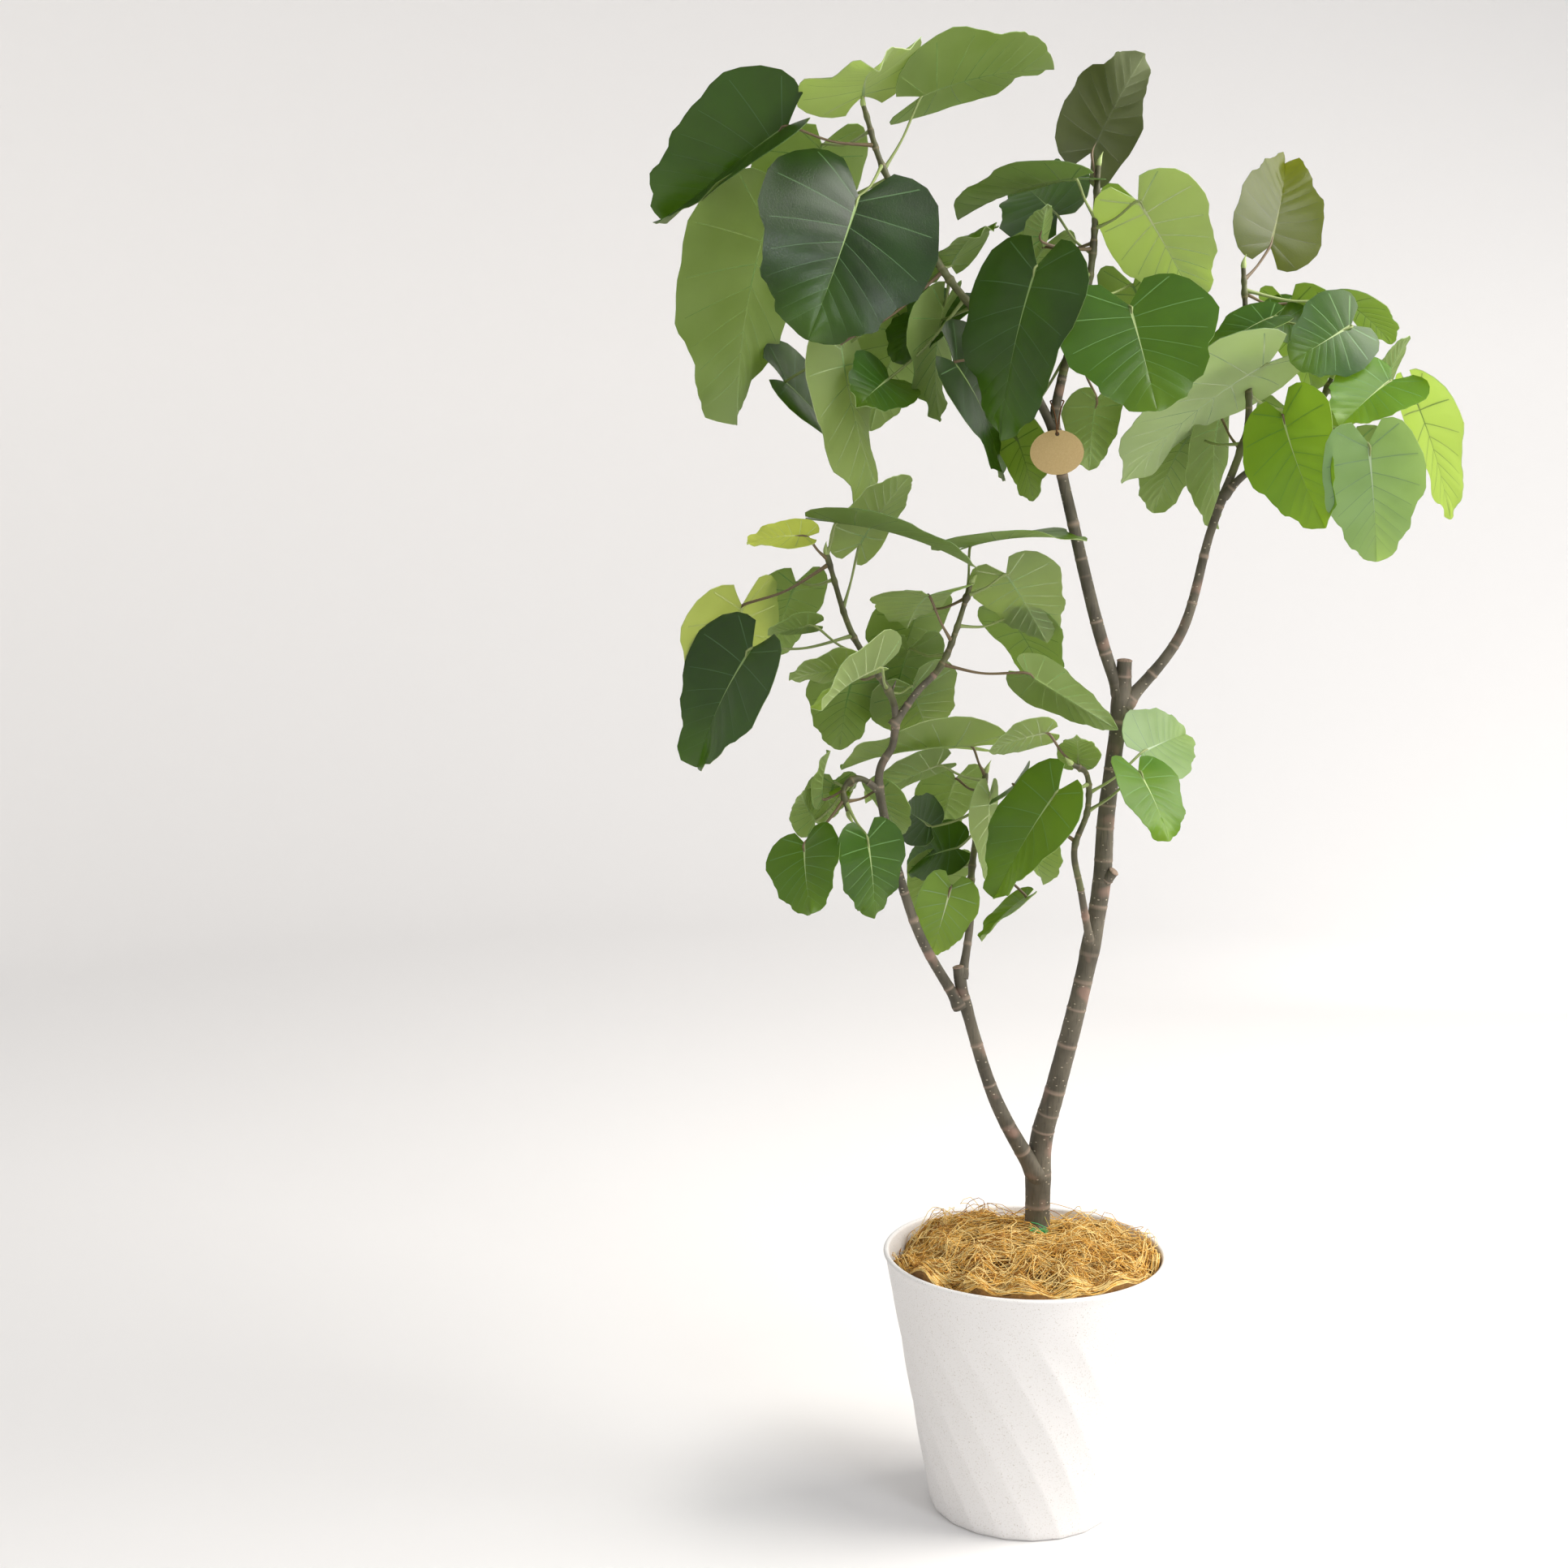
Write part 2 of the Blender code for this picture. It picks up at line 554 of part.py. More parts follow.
def build_tag(routes):
    """A bare oval tag of card, and the tie that holds it to the leader just above the fork."""
    bpy.ops.mesh.primitive_cylinder_add(vertices=32, radius=0.5, depth=TAG_THICK, location=TAG_CENTRE)
    disc = bpy.context.object
    disc.name = "tag"
    for home in list(disc.users_collection):
        home.objects.unlink(disc)
    PLANT.objects.link(disc)
    disc.data.transform(Matrix.Rotation(math.pi / 2, 4, "X") @ Matrix.Diagonal((TAG_WIDE, TAG_TALL, 1, 1)))
    hole_place = TAG_CENTRE + Vector((0, 0, TAG_HOLE_UP))
    bpy.ops.mesh.primitive_cylinder_add(
        vertices=12, radius=TAG_HOLE_RADIUS, depth=4 * TAG_THICK, location=hole_place,
        rotation=(math.pi / 2, 0, 0),
    )
    punch = bpy.context.object
    disc = cut(disc, punch)
    disc.data.materials.append(material("card", (0.62, 0.42, 0.22), 0.8))

    centre = along(routes["leader"], TIE_AT_MM)[0] * MM
    around = [(0.0, 0.0066, 0.001), (0.0062, 0.0022, 0.0), (0.0062, -0.0036, -0.002)]
    around += [(0.0040, -0.0074, -0.008)]
    front = [(-0.0040, -0.0110, -0.008), (-0.0066, -0.0040, -0.002), (-0.0062, 0.0022, 0.0)]
    through = [(0.0010, 0.0032, 0.010), (0.0, 0.0, 0.0), (-0.0010, -0.0032, 0.010)]
    ring = [centre + Vector(p) for p in around] + [hole_place + Vector(p) for p in through]
    ring += [centre + Vector(p) for p in front]
    curve = bpy.data.curves.new("tag_tie", "CURVE")
    curve.dimensions = "3D"
    curve.bevel_depth = TIE_RADIUS
    curve.bevel_resolution = 1
    curve.resolution_u = 2
    spline = curve.splines.new("BEZIER")
    spline.bezier_points.add(len(ring) - 1)
    for point, place in zip(spline.bezier_points, ring):
        point.co = place
        point.handle_left_type = point.handle_right_type = "AUTO"
    spline.use_cyclic_u = True
    tie = baked(add_object("tag_tie", curve))
    tie.data.materials.append(material("tie_cord", (0.25, 0.13, 0.06), 0.9))


def main():
    for obj in list(bpy.data.objects):
        bpy.data.objects.remove(obj)
    bpy.context.scene.collection.children.link(PLANT)
    bpy.context.scene.collection.children.link(HELPERS)
    routes = {name: route(shoot.points, shoot.radii) for name, shoot in SHOOTS.items()}
    foot = Vector((*TRUNK_POINTS_MM[0][:2], (COIR_SEAT + CLEAR) / MM))
    routes["trunk"] = [(foot, TRUNK_FLARE_MM), *route(TRUNK_POINTS_MM, TRUNK_RADII_MM)]
    routes["left_bough"] = route(LEFT_BOUGH_POINTS_MM, LEFT_BOUGH_RADII_MM)
    build_pot()
    build_coir()
    build_trunk(routes)
    build_boughs(routes)
    build_tag(routes)
    build_masses(routes)
    bpy.data.collections.remove(HELPERS)


main()
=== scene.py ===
"""The looks of a potted Ficus umbellata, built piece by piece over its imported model."""

import json
import math
import random
from collections import namedtuple
from functools import partial

import bmesh
import bpy
import numpy as np
from mathutils import Matrix, Vector
from mathutils.bvhtree import BVHTree

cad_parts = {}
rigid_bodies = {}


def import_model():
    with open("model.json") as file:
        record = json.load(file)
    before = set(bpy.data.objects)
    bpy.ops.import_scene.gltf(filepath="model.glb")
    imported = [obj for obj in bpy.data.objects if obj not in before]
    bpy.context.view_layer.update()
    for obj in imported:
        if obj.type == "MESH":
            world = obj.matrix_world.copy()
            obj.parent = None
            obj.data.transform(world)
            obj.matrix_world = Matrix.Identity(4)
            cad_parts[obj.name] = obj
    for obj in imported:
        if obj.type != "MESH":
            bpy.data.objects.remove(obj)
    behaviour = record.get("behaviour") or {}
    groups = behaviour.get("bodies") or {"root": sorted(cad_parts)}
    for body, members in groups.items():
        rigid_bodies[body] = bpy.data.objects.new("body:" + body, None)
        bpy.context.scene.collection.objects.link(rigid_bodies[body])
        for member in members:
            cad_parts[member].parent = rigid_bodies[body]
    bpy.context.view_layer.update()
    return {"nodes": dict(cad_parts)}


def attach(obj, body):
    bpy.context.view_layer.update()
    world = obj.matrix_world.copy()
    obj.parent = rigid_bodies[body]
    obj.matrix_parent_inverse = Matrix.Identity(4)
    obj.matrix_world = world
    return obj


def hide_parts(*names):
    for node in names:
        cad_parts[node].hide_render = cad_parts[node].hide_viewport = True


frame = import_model()
graph_of = bpy.context.evaluated_depsgraph_get


# Pot
# A tapering pot moulded in white resin with a fine sandy speckle. Below a smooth band the wall is twenty
# shallow facets, which twist as they run down to the foot. The rim is a thin rounded lip, and the pot stands
# on its foot.

MM = 0.001
POT_HEIGHT = 0.280
RIM_RADIUS = 0.150
FOOT_RADIUS = 0.098
POT_WALL = 0.006
POT_FLOOR = 0.008
FOOT_ROUND = 0.004
LIP_BULGE = 0.0012
SMOOTH_BAND = 0.030
POT_FACETS = 20
FACET_TWIST = math.radians(62)
FACET_FADE = 0.045
STEPS_A_FACET = 12
LIP_STEPS = 12
LIP_REACH = 2.5
FOOT_STEPS = 6
WALL_ROWS = 64


def linear(code):
    """The linear colour of an sRGB hex code."""
    parts = [int(code[i:i + 2], 16) / 255 for i in (1, 3, 5)]
    return (*[c / 12.92 if c <= 0.04045 else ((c + 0.055) / 1.055) ** 2.4 for c in parts], 1.0)


def feed(node, *places, **named):
    """Sets a node's inputs, in order or by name with _ for a space. Each is a value, node, socket or list."""
    for key, value in [*enumerate(places), *named.items()]:
        socket = node.inputs[key] if isinstance(key, int) else next(
            s for s in node.inputs if s.enabled and s.name == key.replace("_", " "))
        for item in value if isinstance(value, list) else [value]:
            if isinstance(item, bpy.types.Node):
                item = next(s for s in item.outputs if s.enabled)
            if isinstance(item, bpy.types.NodeSocket):
                node.id_data.links.new(item, socket)
            else:
                socket.default_value = item


def add_node(tree, kind, *places, **named):
    """Adds a node. Names in small letters are its settings, and the others are inputs, as feed takes them."""
    made = tree.nodes.new(kind)
    for name in [name for name in named if name.islower()]:
        setattr(made, name, named.pop(name))
    feed(made, *places, **named)
    return made


def new_material(name, roughness):
    """A new material, what adds its nodes, its Principled BSDF and the socket with places on the object."""
    made = bpy.data.materials.new(name)
    made.use_nodes = True
    tree = made.node_tree
    shader = tree.nodes["Principled BSDF"]
    feed(shader, Roughness=roughness)
    add = partial(add_node, tree)
    return made, add, shader, add("ShaderNodeTexCoord").outputs["Object"]


def mottled(add, place, size, low, high, detail=3.0, spread=(0.35, 0.65)):
    """Two colours mixed by noise in clouds of this size over the spread of its values, and the noise."""
    noise = add("ShaderNodeTexNoise", Vector=place, Scale=1 / size, Detail=detail)
    share = add("ShaderNodeMapRange", Value=noise, From_Min=spread[0], From_Max=spread[1])
    return add("ShaderNodeMix", Factor=share, A=linear(low), B=linear(high), data_type="RGBA"), noise


def new_tree(name, sizes):
    """A geometry node tree with an input for each size or material, what adds its nodes, and those inputs."""
    tree = bpy.data.node_groups.new(name, "GeometryNodeTree")
    kinds = {float: "NodeSocketFloat", int: "NodeSocketInt", bpy.types.Material: "NodeSocketMaterial"}
    tree.interface.new_socket("Geometry", in_out="INPUT", socket_type="NodeSocketGeometry")
    tree.interface.new_socket("Geometry", in_out="OUTPUT", socket_type="NodeSocketGeometry")
    for label, value in sizes.items():
        tree.interface.new_socket(label, in_out="INPUT", socket_type=kinds[type(value)])
    return tree, partial(add_node, tree), tree.nodes.new("NodeGroupInput").outputs


def add_object(name, data):
    made = bpy.data.objects.new(name, data)
    bpy.context.scene.collection.objects.link(made)
    return made


def plain(obj, name):
    """The object as its modifiers leave it, as a plain mesh object. The first one is removed."""
    bpy.context.view_layer.update()
    mesh = bpy.data.meshes.new_from_object(obj.evaluated_get(graph_of()))
    bpy.data.objects.remove(obj)
    return add_object(name, mesh)


def grown(obj, tree, sizes, name):
    """Runs a geometry node tree on the object with these sizes, and returns a plain mesh object."""
    modifier = obj.modifiers.new(tree.name, "NODES")
    modifier.node_group = tree
    for item in tree.interface.items_tree:
        if item.in_out == "INPUT" and item.name in sizes:
            modifier[item.identifier] = sizes[item.name]
    return plain(obj, name)


def merged(obj, gap=0.00001):
    """Merges doubled points and turns every face outwards."""
    shape = bmesh.new()
    shape.from_mesh(obj.data)
    bmesh.ops.remove_doubles(shape, verts=shape.verts, dist=gap)
    bmesh.ops.recalc_face_normals(shape, faces=shape.faces)
    shape.to_mesh(obj.data)
    shape.free()
    return obj


def turned(name, profile, steps):
    """A profile of (radius, height) turned about the Z axis."""
    mesh = bpy.data.meshes.new(name)
    mesh.from_pydata([(r, 0, z) for r, z in profile], [(i, i + 1) for i in range(len(profile) - 1)], [])
    made = add_object(name, mesh)
    screw = made.modifiers.new("turn", "SCREW")
    screw.steps = screw.render_steps = steps
    screw.use_merge_vertices = True
    screw.merge_threshold = 0.00001
    return merged(plain(made, name))


def outer_radius(z):
    return FOOT_RADIUS + (RIM_RADIUS - LIP_BULGE - FOOT_RADIUS) * z / POT_HEIGHT


# Moulded resin with sand in it: matt, off-white, and speckled where a grain lies near the surface. A grain is
# about 0.6 mm, drawn as 1.4 mm so that it shows.
GRAIN = 1.4 * MM
resin, add, shader, place = new_material("sandy_moulded_resin", 0.62)
grains = add("ShaderNodeTexNoise", Vector=place, Scale=1 / GRAIN, Detail=2.0)
speck = add("ShaderNodeMapRange", grains, From_Min=0.6, From_Max=0.72)
ground, _ = mottled(add, place, 1 / 12, "#E9E7E6", "#E2E0DE", 2.0, (0, 1))
speckled = add("ShaderNodeMix", Factor=speck, A=ground, B=linear("#C6C0B8"), data_type="RGBA")
sandy = add("ShaderNodeBump", Strength=0.25, Distance=0.3 * MM, Height=grains)
feed(shader, Base_Color=speckled, Normal=sandy)

lip = POT_WALL / 2
lip_turns = [math.pi * (1 - k / LIP_STEPS) for k in range(LIP_STEPS + 1)]
foot_turns = [math.pi / 2 * k / FOOT_STEPS for k in range(1, FOOT_STEPS + 1)]
profile = [(0, POT_FLOOR), (outer_radius(POT_FLOOR) - POT_WALL, POT_FLOOR)]
profile += [(RIM_RADIUS - lip + lip * math.cos(a), POT_HEIGHT - lip + lip * math.sin(a)) for a in lip_turns]
profile += [(outer_radius(z), z) for z in np.linspace(POT_HEIGHT - LIP_REACH * lip, FOOT_ROUND, WALL_ROWS)]
profile += [(outer_radius(0) - FOOT_ROUND * (1 - math.cos(a)), FOOT_ROUND * (1 - math.sin(a)))
            for a in foot_turns]
profile += [(0, 0)]

sizes = {"Height": POT_HEIGHT, "Rim radius": RIM_RADIUS - LIP_BULGE, "Foot radius": FOOT_RADIUS,
         "Wall": POT_WALL, "Band": SMOOTH_BAND, "Fade": FACET_FADE, "Facets": float(POT_FACETS),
         "Twist": FACET_TWIST, "Material": resin}
tree, add, size = new_tree("twisted_facets", sizes)
x, y, z = add("ShaderNodeSeparateXYZ", add("GeometryNodeInputPosition")).outputs
turn = add("ShaderNodeMath", y, x, operation="ARCTAN2")
radius = add("ShaderNodeVectorMath", add("ShaderNodeCombineXYZ", x, y), operation="LENGTH")
facet = add("ShaderNodeMath", math.tau, size["Facets"], operation="DIVIDE")
half_facet = add("ShaderNodeMath", facet, 0.5, operation="MULTIPLY")
inside = add("ShaderNodeMath", turn, facet, operation="FLOORED_MODULO")
off_middle = add("ShaderNodeMath", inside, half_facet, operation="SUBTRACT")
near, far = [add("ShaderNodeMath", angle, operation="COSINE") for angle in (half_facet, off_middle)]
chord = add("ShaderNodeMath", near, far, operation="DIVIDE")
band_foot = add("ShaderNodeMath", size["Height"], size["Band"], operation="SUBTRACT")
fade_foot = add("ShaderNodeMath", band_foot, size["Fade"], operation="SUBTRACT")
share = add("ShaderNodeMapRange", Value=z, From_Min=band_foot, From_Max=fade_foot,
            interpolation_type="SMOOTHSTEP")
squeeze = add("ShaderNodeMapRange", Value=share, To_Min=1.0, To_Max=chord)
new_radius = add("ShaderNodeMath", radius, squeeze, operation="MULTIPLY")
twist = add("ShaderNodeMapRange", Value=z, From_Min=band_foot, From_Max=0.0, To_Max=size["Twist"])
new_turn = add("ShaderNodeMath", turn, twist, operation="ADD")
cosine, sine = [add("ShaderNodeMath", new_turn, operation=kind) for kind in ("COSINE", "SINE")]
new_x, new_y = [add("ShaderNodeMath", new_radius, part, operation="MULTIPLY") for part in (cosine, sine)]
wall_there = add("ShaderNodeMapRange", Value=z, From_Max=size["Height"], To_Min=size["Foot radius"],
                 To_Max=size["Rim radius"])
inner_there = add("ShaderNodeMath", wall_there, size["Wall"], operation="SUBTRACT")
mid_wall = add("ShaderNodeMath", inner_there, lip, operation="ADD")
is_outer = add("ShaderNodeMath", radius, mid_wall, operation="GREATER_THAN")
is_below = add("ShaderNodeMath", z, band_foot, operation="LESS_THAN")
is_facet = add("ShaderNodeMath", is_outer, is_below, operation="MULTIPLY")
twisted = add("GeometryNodeSetPosition", Geometry=size["Geometry"], Selection=is_facet,
              Position=add("ShaderNodeCombineXYZ", new_x, new_y, z))
real = add("GeometryNodeRealizeInstances", twisted)
painted = add("GeometryNodeSetMaterial", Geometry=real, Material=size["Material"])
add("NodeGroupOutput", painted)

pot = grown(turned("pot_blank", profile, POT_FACETS * STEPS_A_FACET), tree, sizes, "moulded_pot")
pot.data.shade_smooth()
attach(pot, "root")
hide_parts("pot")


# Coir mulch
# A mat of golden coconut fibre, pulled apart by hand and laid over the potting mix in swirls, with hollows
# between them where the mat is painted darker as shade. It lies a little below the rim, higher in front, with
# stray hairs over the edge and a green tuft.

COIR_SEAT = 0.290
COIR_EDGE = 0.2705
COIR_SEAT_RADIUS = 0.062
COIR_SLOPE = 0.055
MULCH_RADIUS = RIM_RADIUS - POT_WALL - 0.001
MULCH_DEEP = 0.030
COIR_GAP = 0.4 * MM
DIPS = (((0.015, 0.125, 0), 1.0), ((-0.150, 0.030, 0), 1.1))
TUFT = (0.014, 0.010, 0)
TUFT_RADIUS = 0.0105
STRAND_ARCS = ((0.014, 290), (0.022, 230), (0.034, 160), (0.055, 105), (0.090, 62))
WANDER = 0.022
WALL_CLEAR = 0.0015
STRAY_POWER = 14.0
PALE_ABOVE = 0.56
BROWN_BELOW = 0.16
GREEN_ABOVE = 0.35
BED_ROWS = 48

fibre_golds = {}
for name, code in {"golden_coir": "#E0AC4C", "pale_coir": "#F6D88E", "brown_coir": "#A06A1C",
                   "green_dyed_coir": "#5CC87C"}.items():
    # Coconut fibre: dry, dull and straw-like, each strand its own shade of gold.
    fibre_golds[name], add, shader, place = new_material(name, 0.75)
    shade = add("ShaderNodeTexNoise", Vector=place, Scale=1 / (9 * MM), Detail=1.0)
    lightness = add("ShaderNodeMapRange", Value=shade, From_Min=0.3, From_Max=0.7, To_Min=0.8, To_Max=1.15)
    feed(shader, Base_Color=add("ShaderNodeHueSaturation", Color=linear(code), Value=lightness))

# The mat under the fibres: the same fibre, matted and in its own shadow, so that it reads as brown.
matted, add, shader, place = new_material("matted_coir", 0.95)
tone, clumps = mottled(add, place, 6 * MM, "#4A3214", "#94682E", 4.0, (0, 1))
# In the hollows the mat is mixed towards near-black: painted shade.
deep = add("ShaderNodeMapRange", Value=add("ShaderNodeAttribute", attribute_name="hollow").outputs["Fac"],
           From_Min=0.25, From_Max=0.7)
tone = add("ShaderNodeMix", Factor=deep, A=tone, B=linear("#1E140A"), data_type="RGBA")
ragged = add("ShaderNodeBump", Strength=1.0, Distance=2 * MM, Height=clumps)
feed(shader, Base_Color=tone, Normal=ragged)

sizes = {"Seat height": COIR_SEAT, "Edge height": COIR_EDGE, "Seat radius": COIR_SEAT_RADIUS,
         "Radius": MULCH_RADIUS, "Slope": COIR_SLOPE, "Lump": 0.011, "Lump size": 0.040, "Hollow": 0.018,
         "Hollow radius": 0.010, "Hollow spacing": 0.042, "Fibre count": 2900.0, "Fibre radius": 0.42 * MM,
         "Fibre lift": 0.0095, "Stray lift": 0.020, "Dip": 0.026, "Dip radius": 0.048, "Turn gap": 0.018,
         "Seed": 4}
tree, add, size = new_tree("coir_mulch", sizes)
spot = add("GeometryNodeInputPosition")
x, y, z = add("ShaderNodeSeparateXYZ", spot).outputs
flat_spot = add("ShaderNodeCombineXYZ", x, y)
radius = add("ShaderNodeVectorMath", flat_spot, operation="LENGTH")
floor_disc = add("GeometryNodeMeshCircle", Vertices=64, Radius=size["Radius"], fill_type="TRIANGLE_FAN")
hollows = add("GeometryNodeDistributePointsOnFaces", Mesh=floor_disc, Distance_Min=size["Hollow spacing"],
              Density_Max=900.0, Seed=size["Seed"], distribute_method="POISSON")
nearest = add("GeometryNodeProximity", Geometry=hollows, Sample_Position=flat_spot, target_element="POINTS")
away = add("ShaderNodeMath", nearest.outputs["Distance"], size["Hollow radius"], operation="DIVIDE")
away_squared = add("ShaderNodeMath", away, 2.0, operation="POWER")
in_hollow = add("ShaderNodeMath", math.exp(-1), away_squared, operation="POWER")
share = add("ShaderNodeMapRange", Value=radius, From_Min=size["Seat radius"], From_Max=size["Radius"])
bed = add("ShaderNodeMapRange", Value=share, To_Min=size["Seat height"], To_Max=size["Edge height"],
          interpolation_type="SMOOTHSTEP")
lean = add("ShaderNodeMath", y, share, operation="MULTIPLY")
drop = add("ShaderNodeMath", lean, size["Slope"], operation="MULTIPLY")
swell = add("ShaderNodeTexNoise", Vector=flat_spot,
            Scale=add("ShaderNodeMath", 1.0, size["Lump size"], operation="DIVIDE"), Detail=1.0)
lump = add("ShaderNodeMapRange", Value=swell, From_Min=0.3, From_Max=0.7,
           To_Min=add("ShaderNodeMath", size["Lump"], -0.7, operation="MULTIPLY"), To_Max=size["Lump"])
dent = add("ShaderNodeMath", in_hollow, size["Hollow"], operation="MULTIPLY")
lumpy = add("ShaderNodeMath", lump, dent, operation="SUBTRACT")
at_edge = add("ShaderNodeMapRange", Value=share, From_Min=0.0, From_Max=0.25, To_Min=0.35, To_Max=1.0)
faded = add("ShaderNodeMath", lumpy, at_edge, operation="MULTIPLY")
# The fibre was pressed down behind the trunk and along the wall on the left, where the pot's white inside
# shows.
dips = []
for place, reach in DIPS:
    far_off = add("ShaderNodeVectorMath", flat_spot, place, operation="DISTANCE")
    reached = add("ShaderNodeMath", size["Dip radius"], reach, operation="MULTIPLY")
    ratio = add("ShaderNodeMath", far_off, reached, operation="DIVIDE")
    squared = add("ShaderNodeMath", ratio, 2.0, operation="POWER")
    dips.append(add("ShaderNodeMath", math.exp(-1), squared, operation="POWER"))
dipped = add("ShaderNodeMath", dips[0], dips[1], operation="ADD")
pressed = add("ShaderNodeMath", dipped, size["Dip"], operation="MULTIPLY")
level = add("ShaderNodeMath", bed, pressed, operation="SUBTRACT")
tilted = add("ShaderNodeMath", level, drop, operation="SUBTRACT")
top_height = add("ShaderNodeMath", tilted, faded, operation="ADD")
half_way = add("ShaderNodeMath", size["Edge height"], MULCH_DEEP / 2, operation="SUBTRACT")
is_top = add("ShaderNodeMath", z, half_way, operation="GREATER_THAN")
bed_mesh = add("GeometryNodeSetPosition", Geometry=size["Geometry"], Selection=is_top,
               Position=add("ShaderNodeCombineXYZ", x, y, top_height))
bed_mesh = add("GeometryNodeStoreNamedAttribute", Geometry=bed_mesh, Name="hollow", Value=in_hollow)

density = add("ShaderNodeMath", size["Fibre count"], math.pi * MULCH_RADIUS**2, operation="DIVIDE")
roots = add("GeometryNodeDistributePointsOnFaces", Mesh=floor_disc, Density=density, Seed=size["Seed"])
strands = []
for swing, sweep in STRAND_ARCS:
    arc = add("GeometryNodeCurveArc", Resolution=11, Radius=swing, Sweep_Angle=math.radians(sweep),
              mode="RADIUS")
    middle = add("ShaderNodeCombineXYZ", -0.6 * swing)
    moved = add("GeometryNodeTransform", Geometry=arc, Translation=middle)
    strands.append(add("GeometryNodeGeometryToInstance", moved))
spin = add("FunctionNodeRandomValue", Max=(0.0, 0.0, math.tau), Seed=1, data_type="FLOAT_VECTOR")
stretch_by = add("FunctionNodeRandomValue", Min=0.6, Max=1.3, Seed=2)
laid = add("GeometryNodeInstanceOnPoints", Points=roots, Instance=add("GeometryNodeJoinGeometry", strands),
           Pick_Instance=True, Rotation=spin, Scale=stretch_by)
loose = add("GeometryNodeRealizeInstances", laid)
for label, seed in (("lift", 3), ("stray", 5), ("shade", 6)):
    chance = add("FunctionNodeRandomValue", Seed=seed)
    loose = add("GeometryNodeStoreNamedAttribute", Geometry=loose, Name=label, Value=chance, domain="CURVE")
lift, stray, shade = [add("GeometryNodeInputNamedAttribute", Name=label, data_type="FLOAT")
                      for label in ("lift", "stray", "shade")]
wander = add("ShaderNodeTexNoise", Vector=spot, Scale=1 / WANDER, Detail=2.0).outputs["Color"]
swerve = add("ShaderNodeVectorMath", wander, (0.5, 0.5, 0.5), operation="SUBTRACT")
swerved = add("ShaderNodeVectorMath", swerve, Scale=WANDER, operation="SCALE")
# Strands swerve at random and are pushed out of the hollows.
outward = add("ShaderNodeVectorMath", flat_spot, nearest.outputs["Position"], operation="SUBTRACT")
outward_unit = add("ShaderNodeVectorMath", outward, operation="NORMALIZE")
push_by = add("ShaderNodeMath", in_hollow, size["Hollow radius"], operation="MULTIPLY")
push = add("ShaderNodeVectorMath", outward_unit, Scale=push_by, operation="SCALE")
pushed = add("ShaderNodeVectorMath", flat_spot, push, operation="ADD")
pushed = add("ShaderNodeVectorMath", pushed, swerved, operation="ADD")
swirled = add("GeometryNodeSetPosition", Geometry=loose, Position=pushed)
# Strands that come near the wall turn along it, each at its own distance.
lift_squared = add("ShaderNodeMath", lift, 2.0, operation="POWER")
turn_gap = add("ShaderNodeMath", lift_squared, size["Turn gap"], operation="MULTIPLY")
turn_radius = add("ShaderNodeMath", size["Radius"], WALL_CLEAR, operation="SUBTRACT")
turn_radius = add("ShaderNodeMath", turn_radius, turn_gap, operation="SUBTRACT")
reined = add("ShaderNodeMath", turn_radius, radius, operation="DIVIDE")
reined = add("ShaderNodeMath", reined, 1.0, operation="MINIMUM")
kept_in = add("ShaderNodeVectorMath", flat_spot, Scale=reined, operation="SCALE")
inside_pot = add("GeometryNodeSetPosition", Geometry=swirled, Position=kept_in)
above = add("ShaderNodeVectorMath", flat_spot, (0, 0, 0.4), operation="ADD")
ray = add("GeometryNodeRaycast", Target_Geometry=bed_mesh, Source_Position=above, Ray_Direction=(0, 0, -1),
          Ray_Length=0.5)
half_turn = add("ShaderNodeMath", add("GeometryNodeSplineParameter"), math.pi, operation="MULTIPLY")
hump = add("ShaderNodeMath", half_turn, operation="SINE")
rare = add("ShaderNodeMath", stray, STRAY_POWER, operation="POWER")
strays = add("ShaderNodeMath", rare, size["Stray lift"], operation="MULTIPLY")
strays = add("ShaderNodeMath", strays, hump, operation="MULTIPLY")
layer = add("ShaderNodeMath", lift, size["Fibre lift"], operation="MULTIPLY")
lie = add("ShaderNodeCombineXYZ", Z=add("ShaderNodeMath", layer, strays, operation="ADD"))
lain = add("GeometryNodeSetPosition", Geometry=inside_pot, Position=ray.outputs["Hit Position"], Offset=lie)
thin = add("GeometryNodeCurvePrimitiveCircle", Resolution=3, Radius=size["Fibre radius"])
fibres = add("GeometryNodeCurveToMesh", Curve=lain, Profile_Curve=thin)
# Each strand has its shade of gold, but those in front of the trunk's foot were dyed green.
from_tuft = add("ShaderNodeVectorMath", flat_spot, TUFT, operation="DISTANCE")
is_near = add("ShaderNodeMath", from_tuft, TUFT_RADIUS, operation="LESS_THAN")
is_high = add("ShaderNodeMath", lift, GREEN_ABOVE, operation="GREATER_THAN")
painted = fibres
for name, chosen in (("golden_coir", True),
                     ("pale_coir", add("ShaderNodeMath", shade, PALE_ABOVE, operation="GREATER_THAN")),
                     ("brown_coir", add("ShaderNodeMath", shade, BROWN_BELOW, operation="LESS_THAN")),
                     ("green_dyed_coir", add("ShaderNodeMath", is_near, is_high, operation="MULTIPLY"))):
    painted = add("GeometryNodeSetMaterial", Geometry=painted, Selection=chosen, Material=fibre_golds[name])
bed_painted = add("GeometryNodeSetMaterial", Geometry=bed_mesh, Material=matted)
whole = add("GeometryNodeRealizeInstances", add("GeometryNodeJoinGeometry", [bed_painted, painted]))
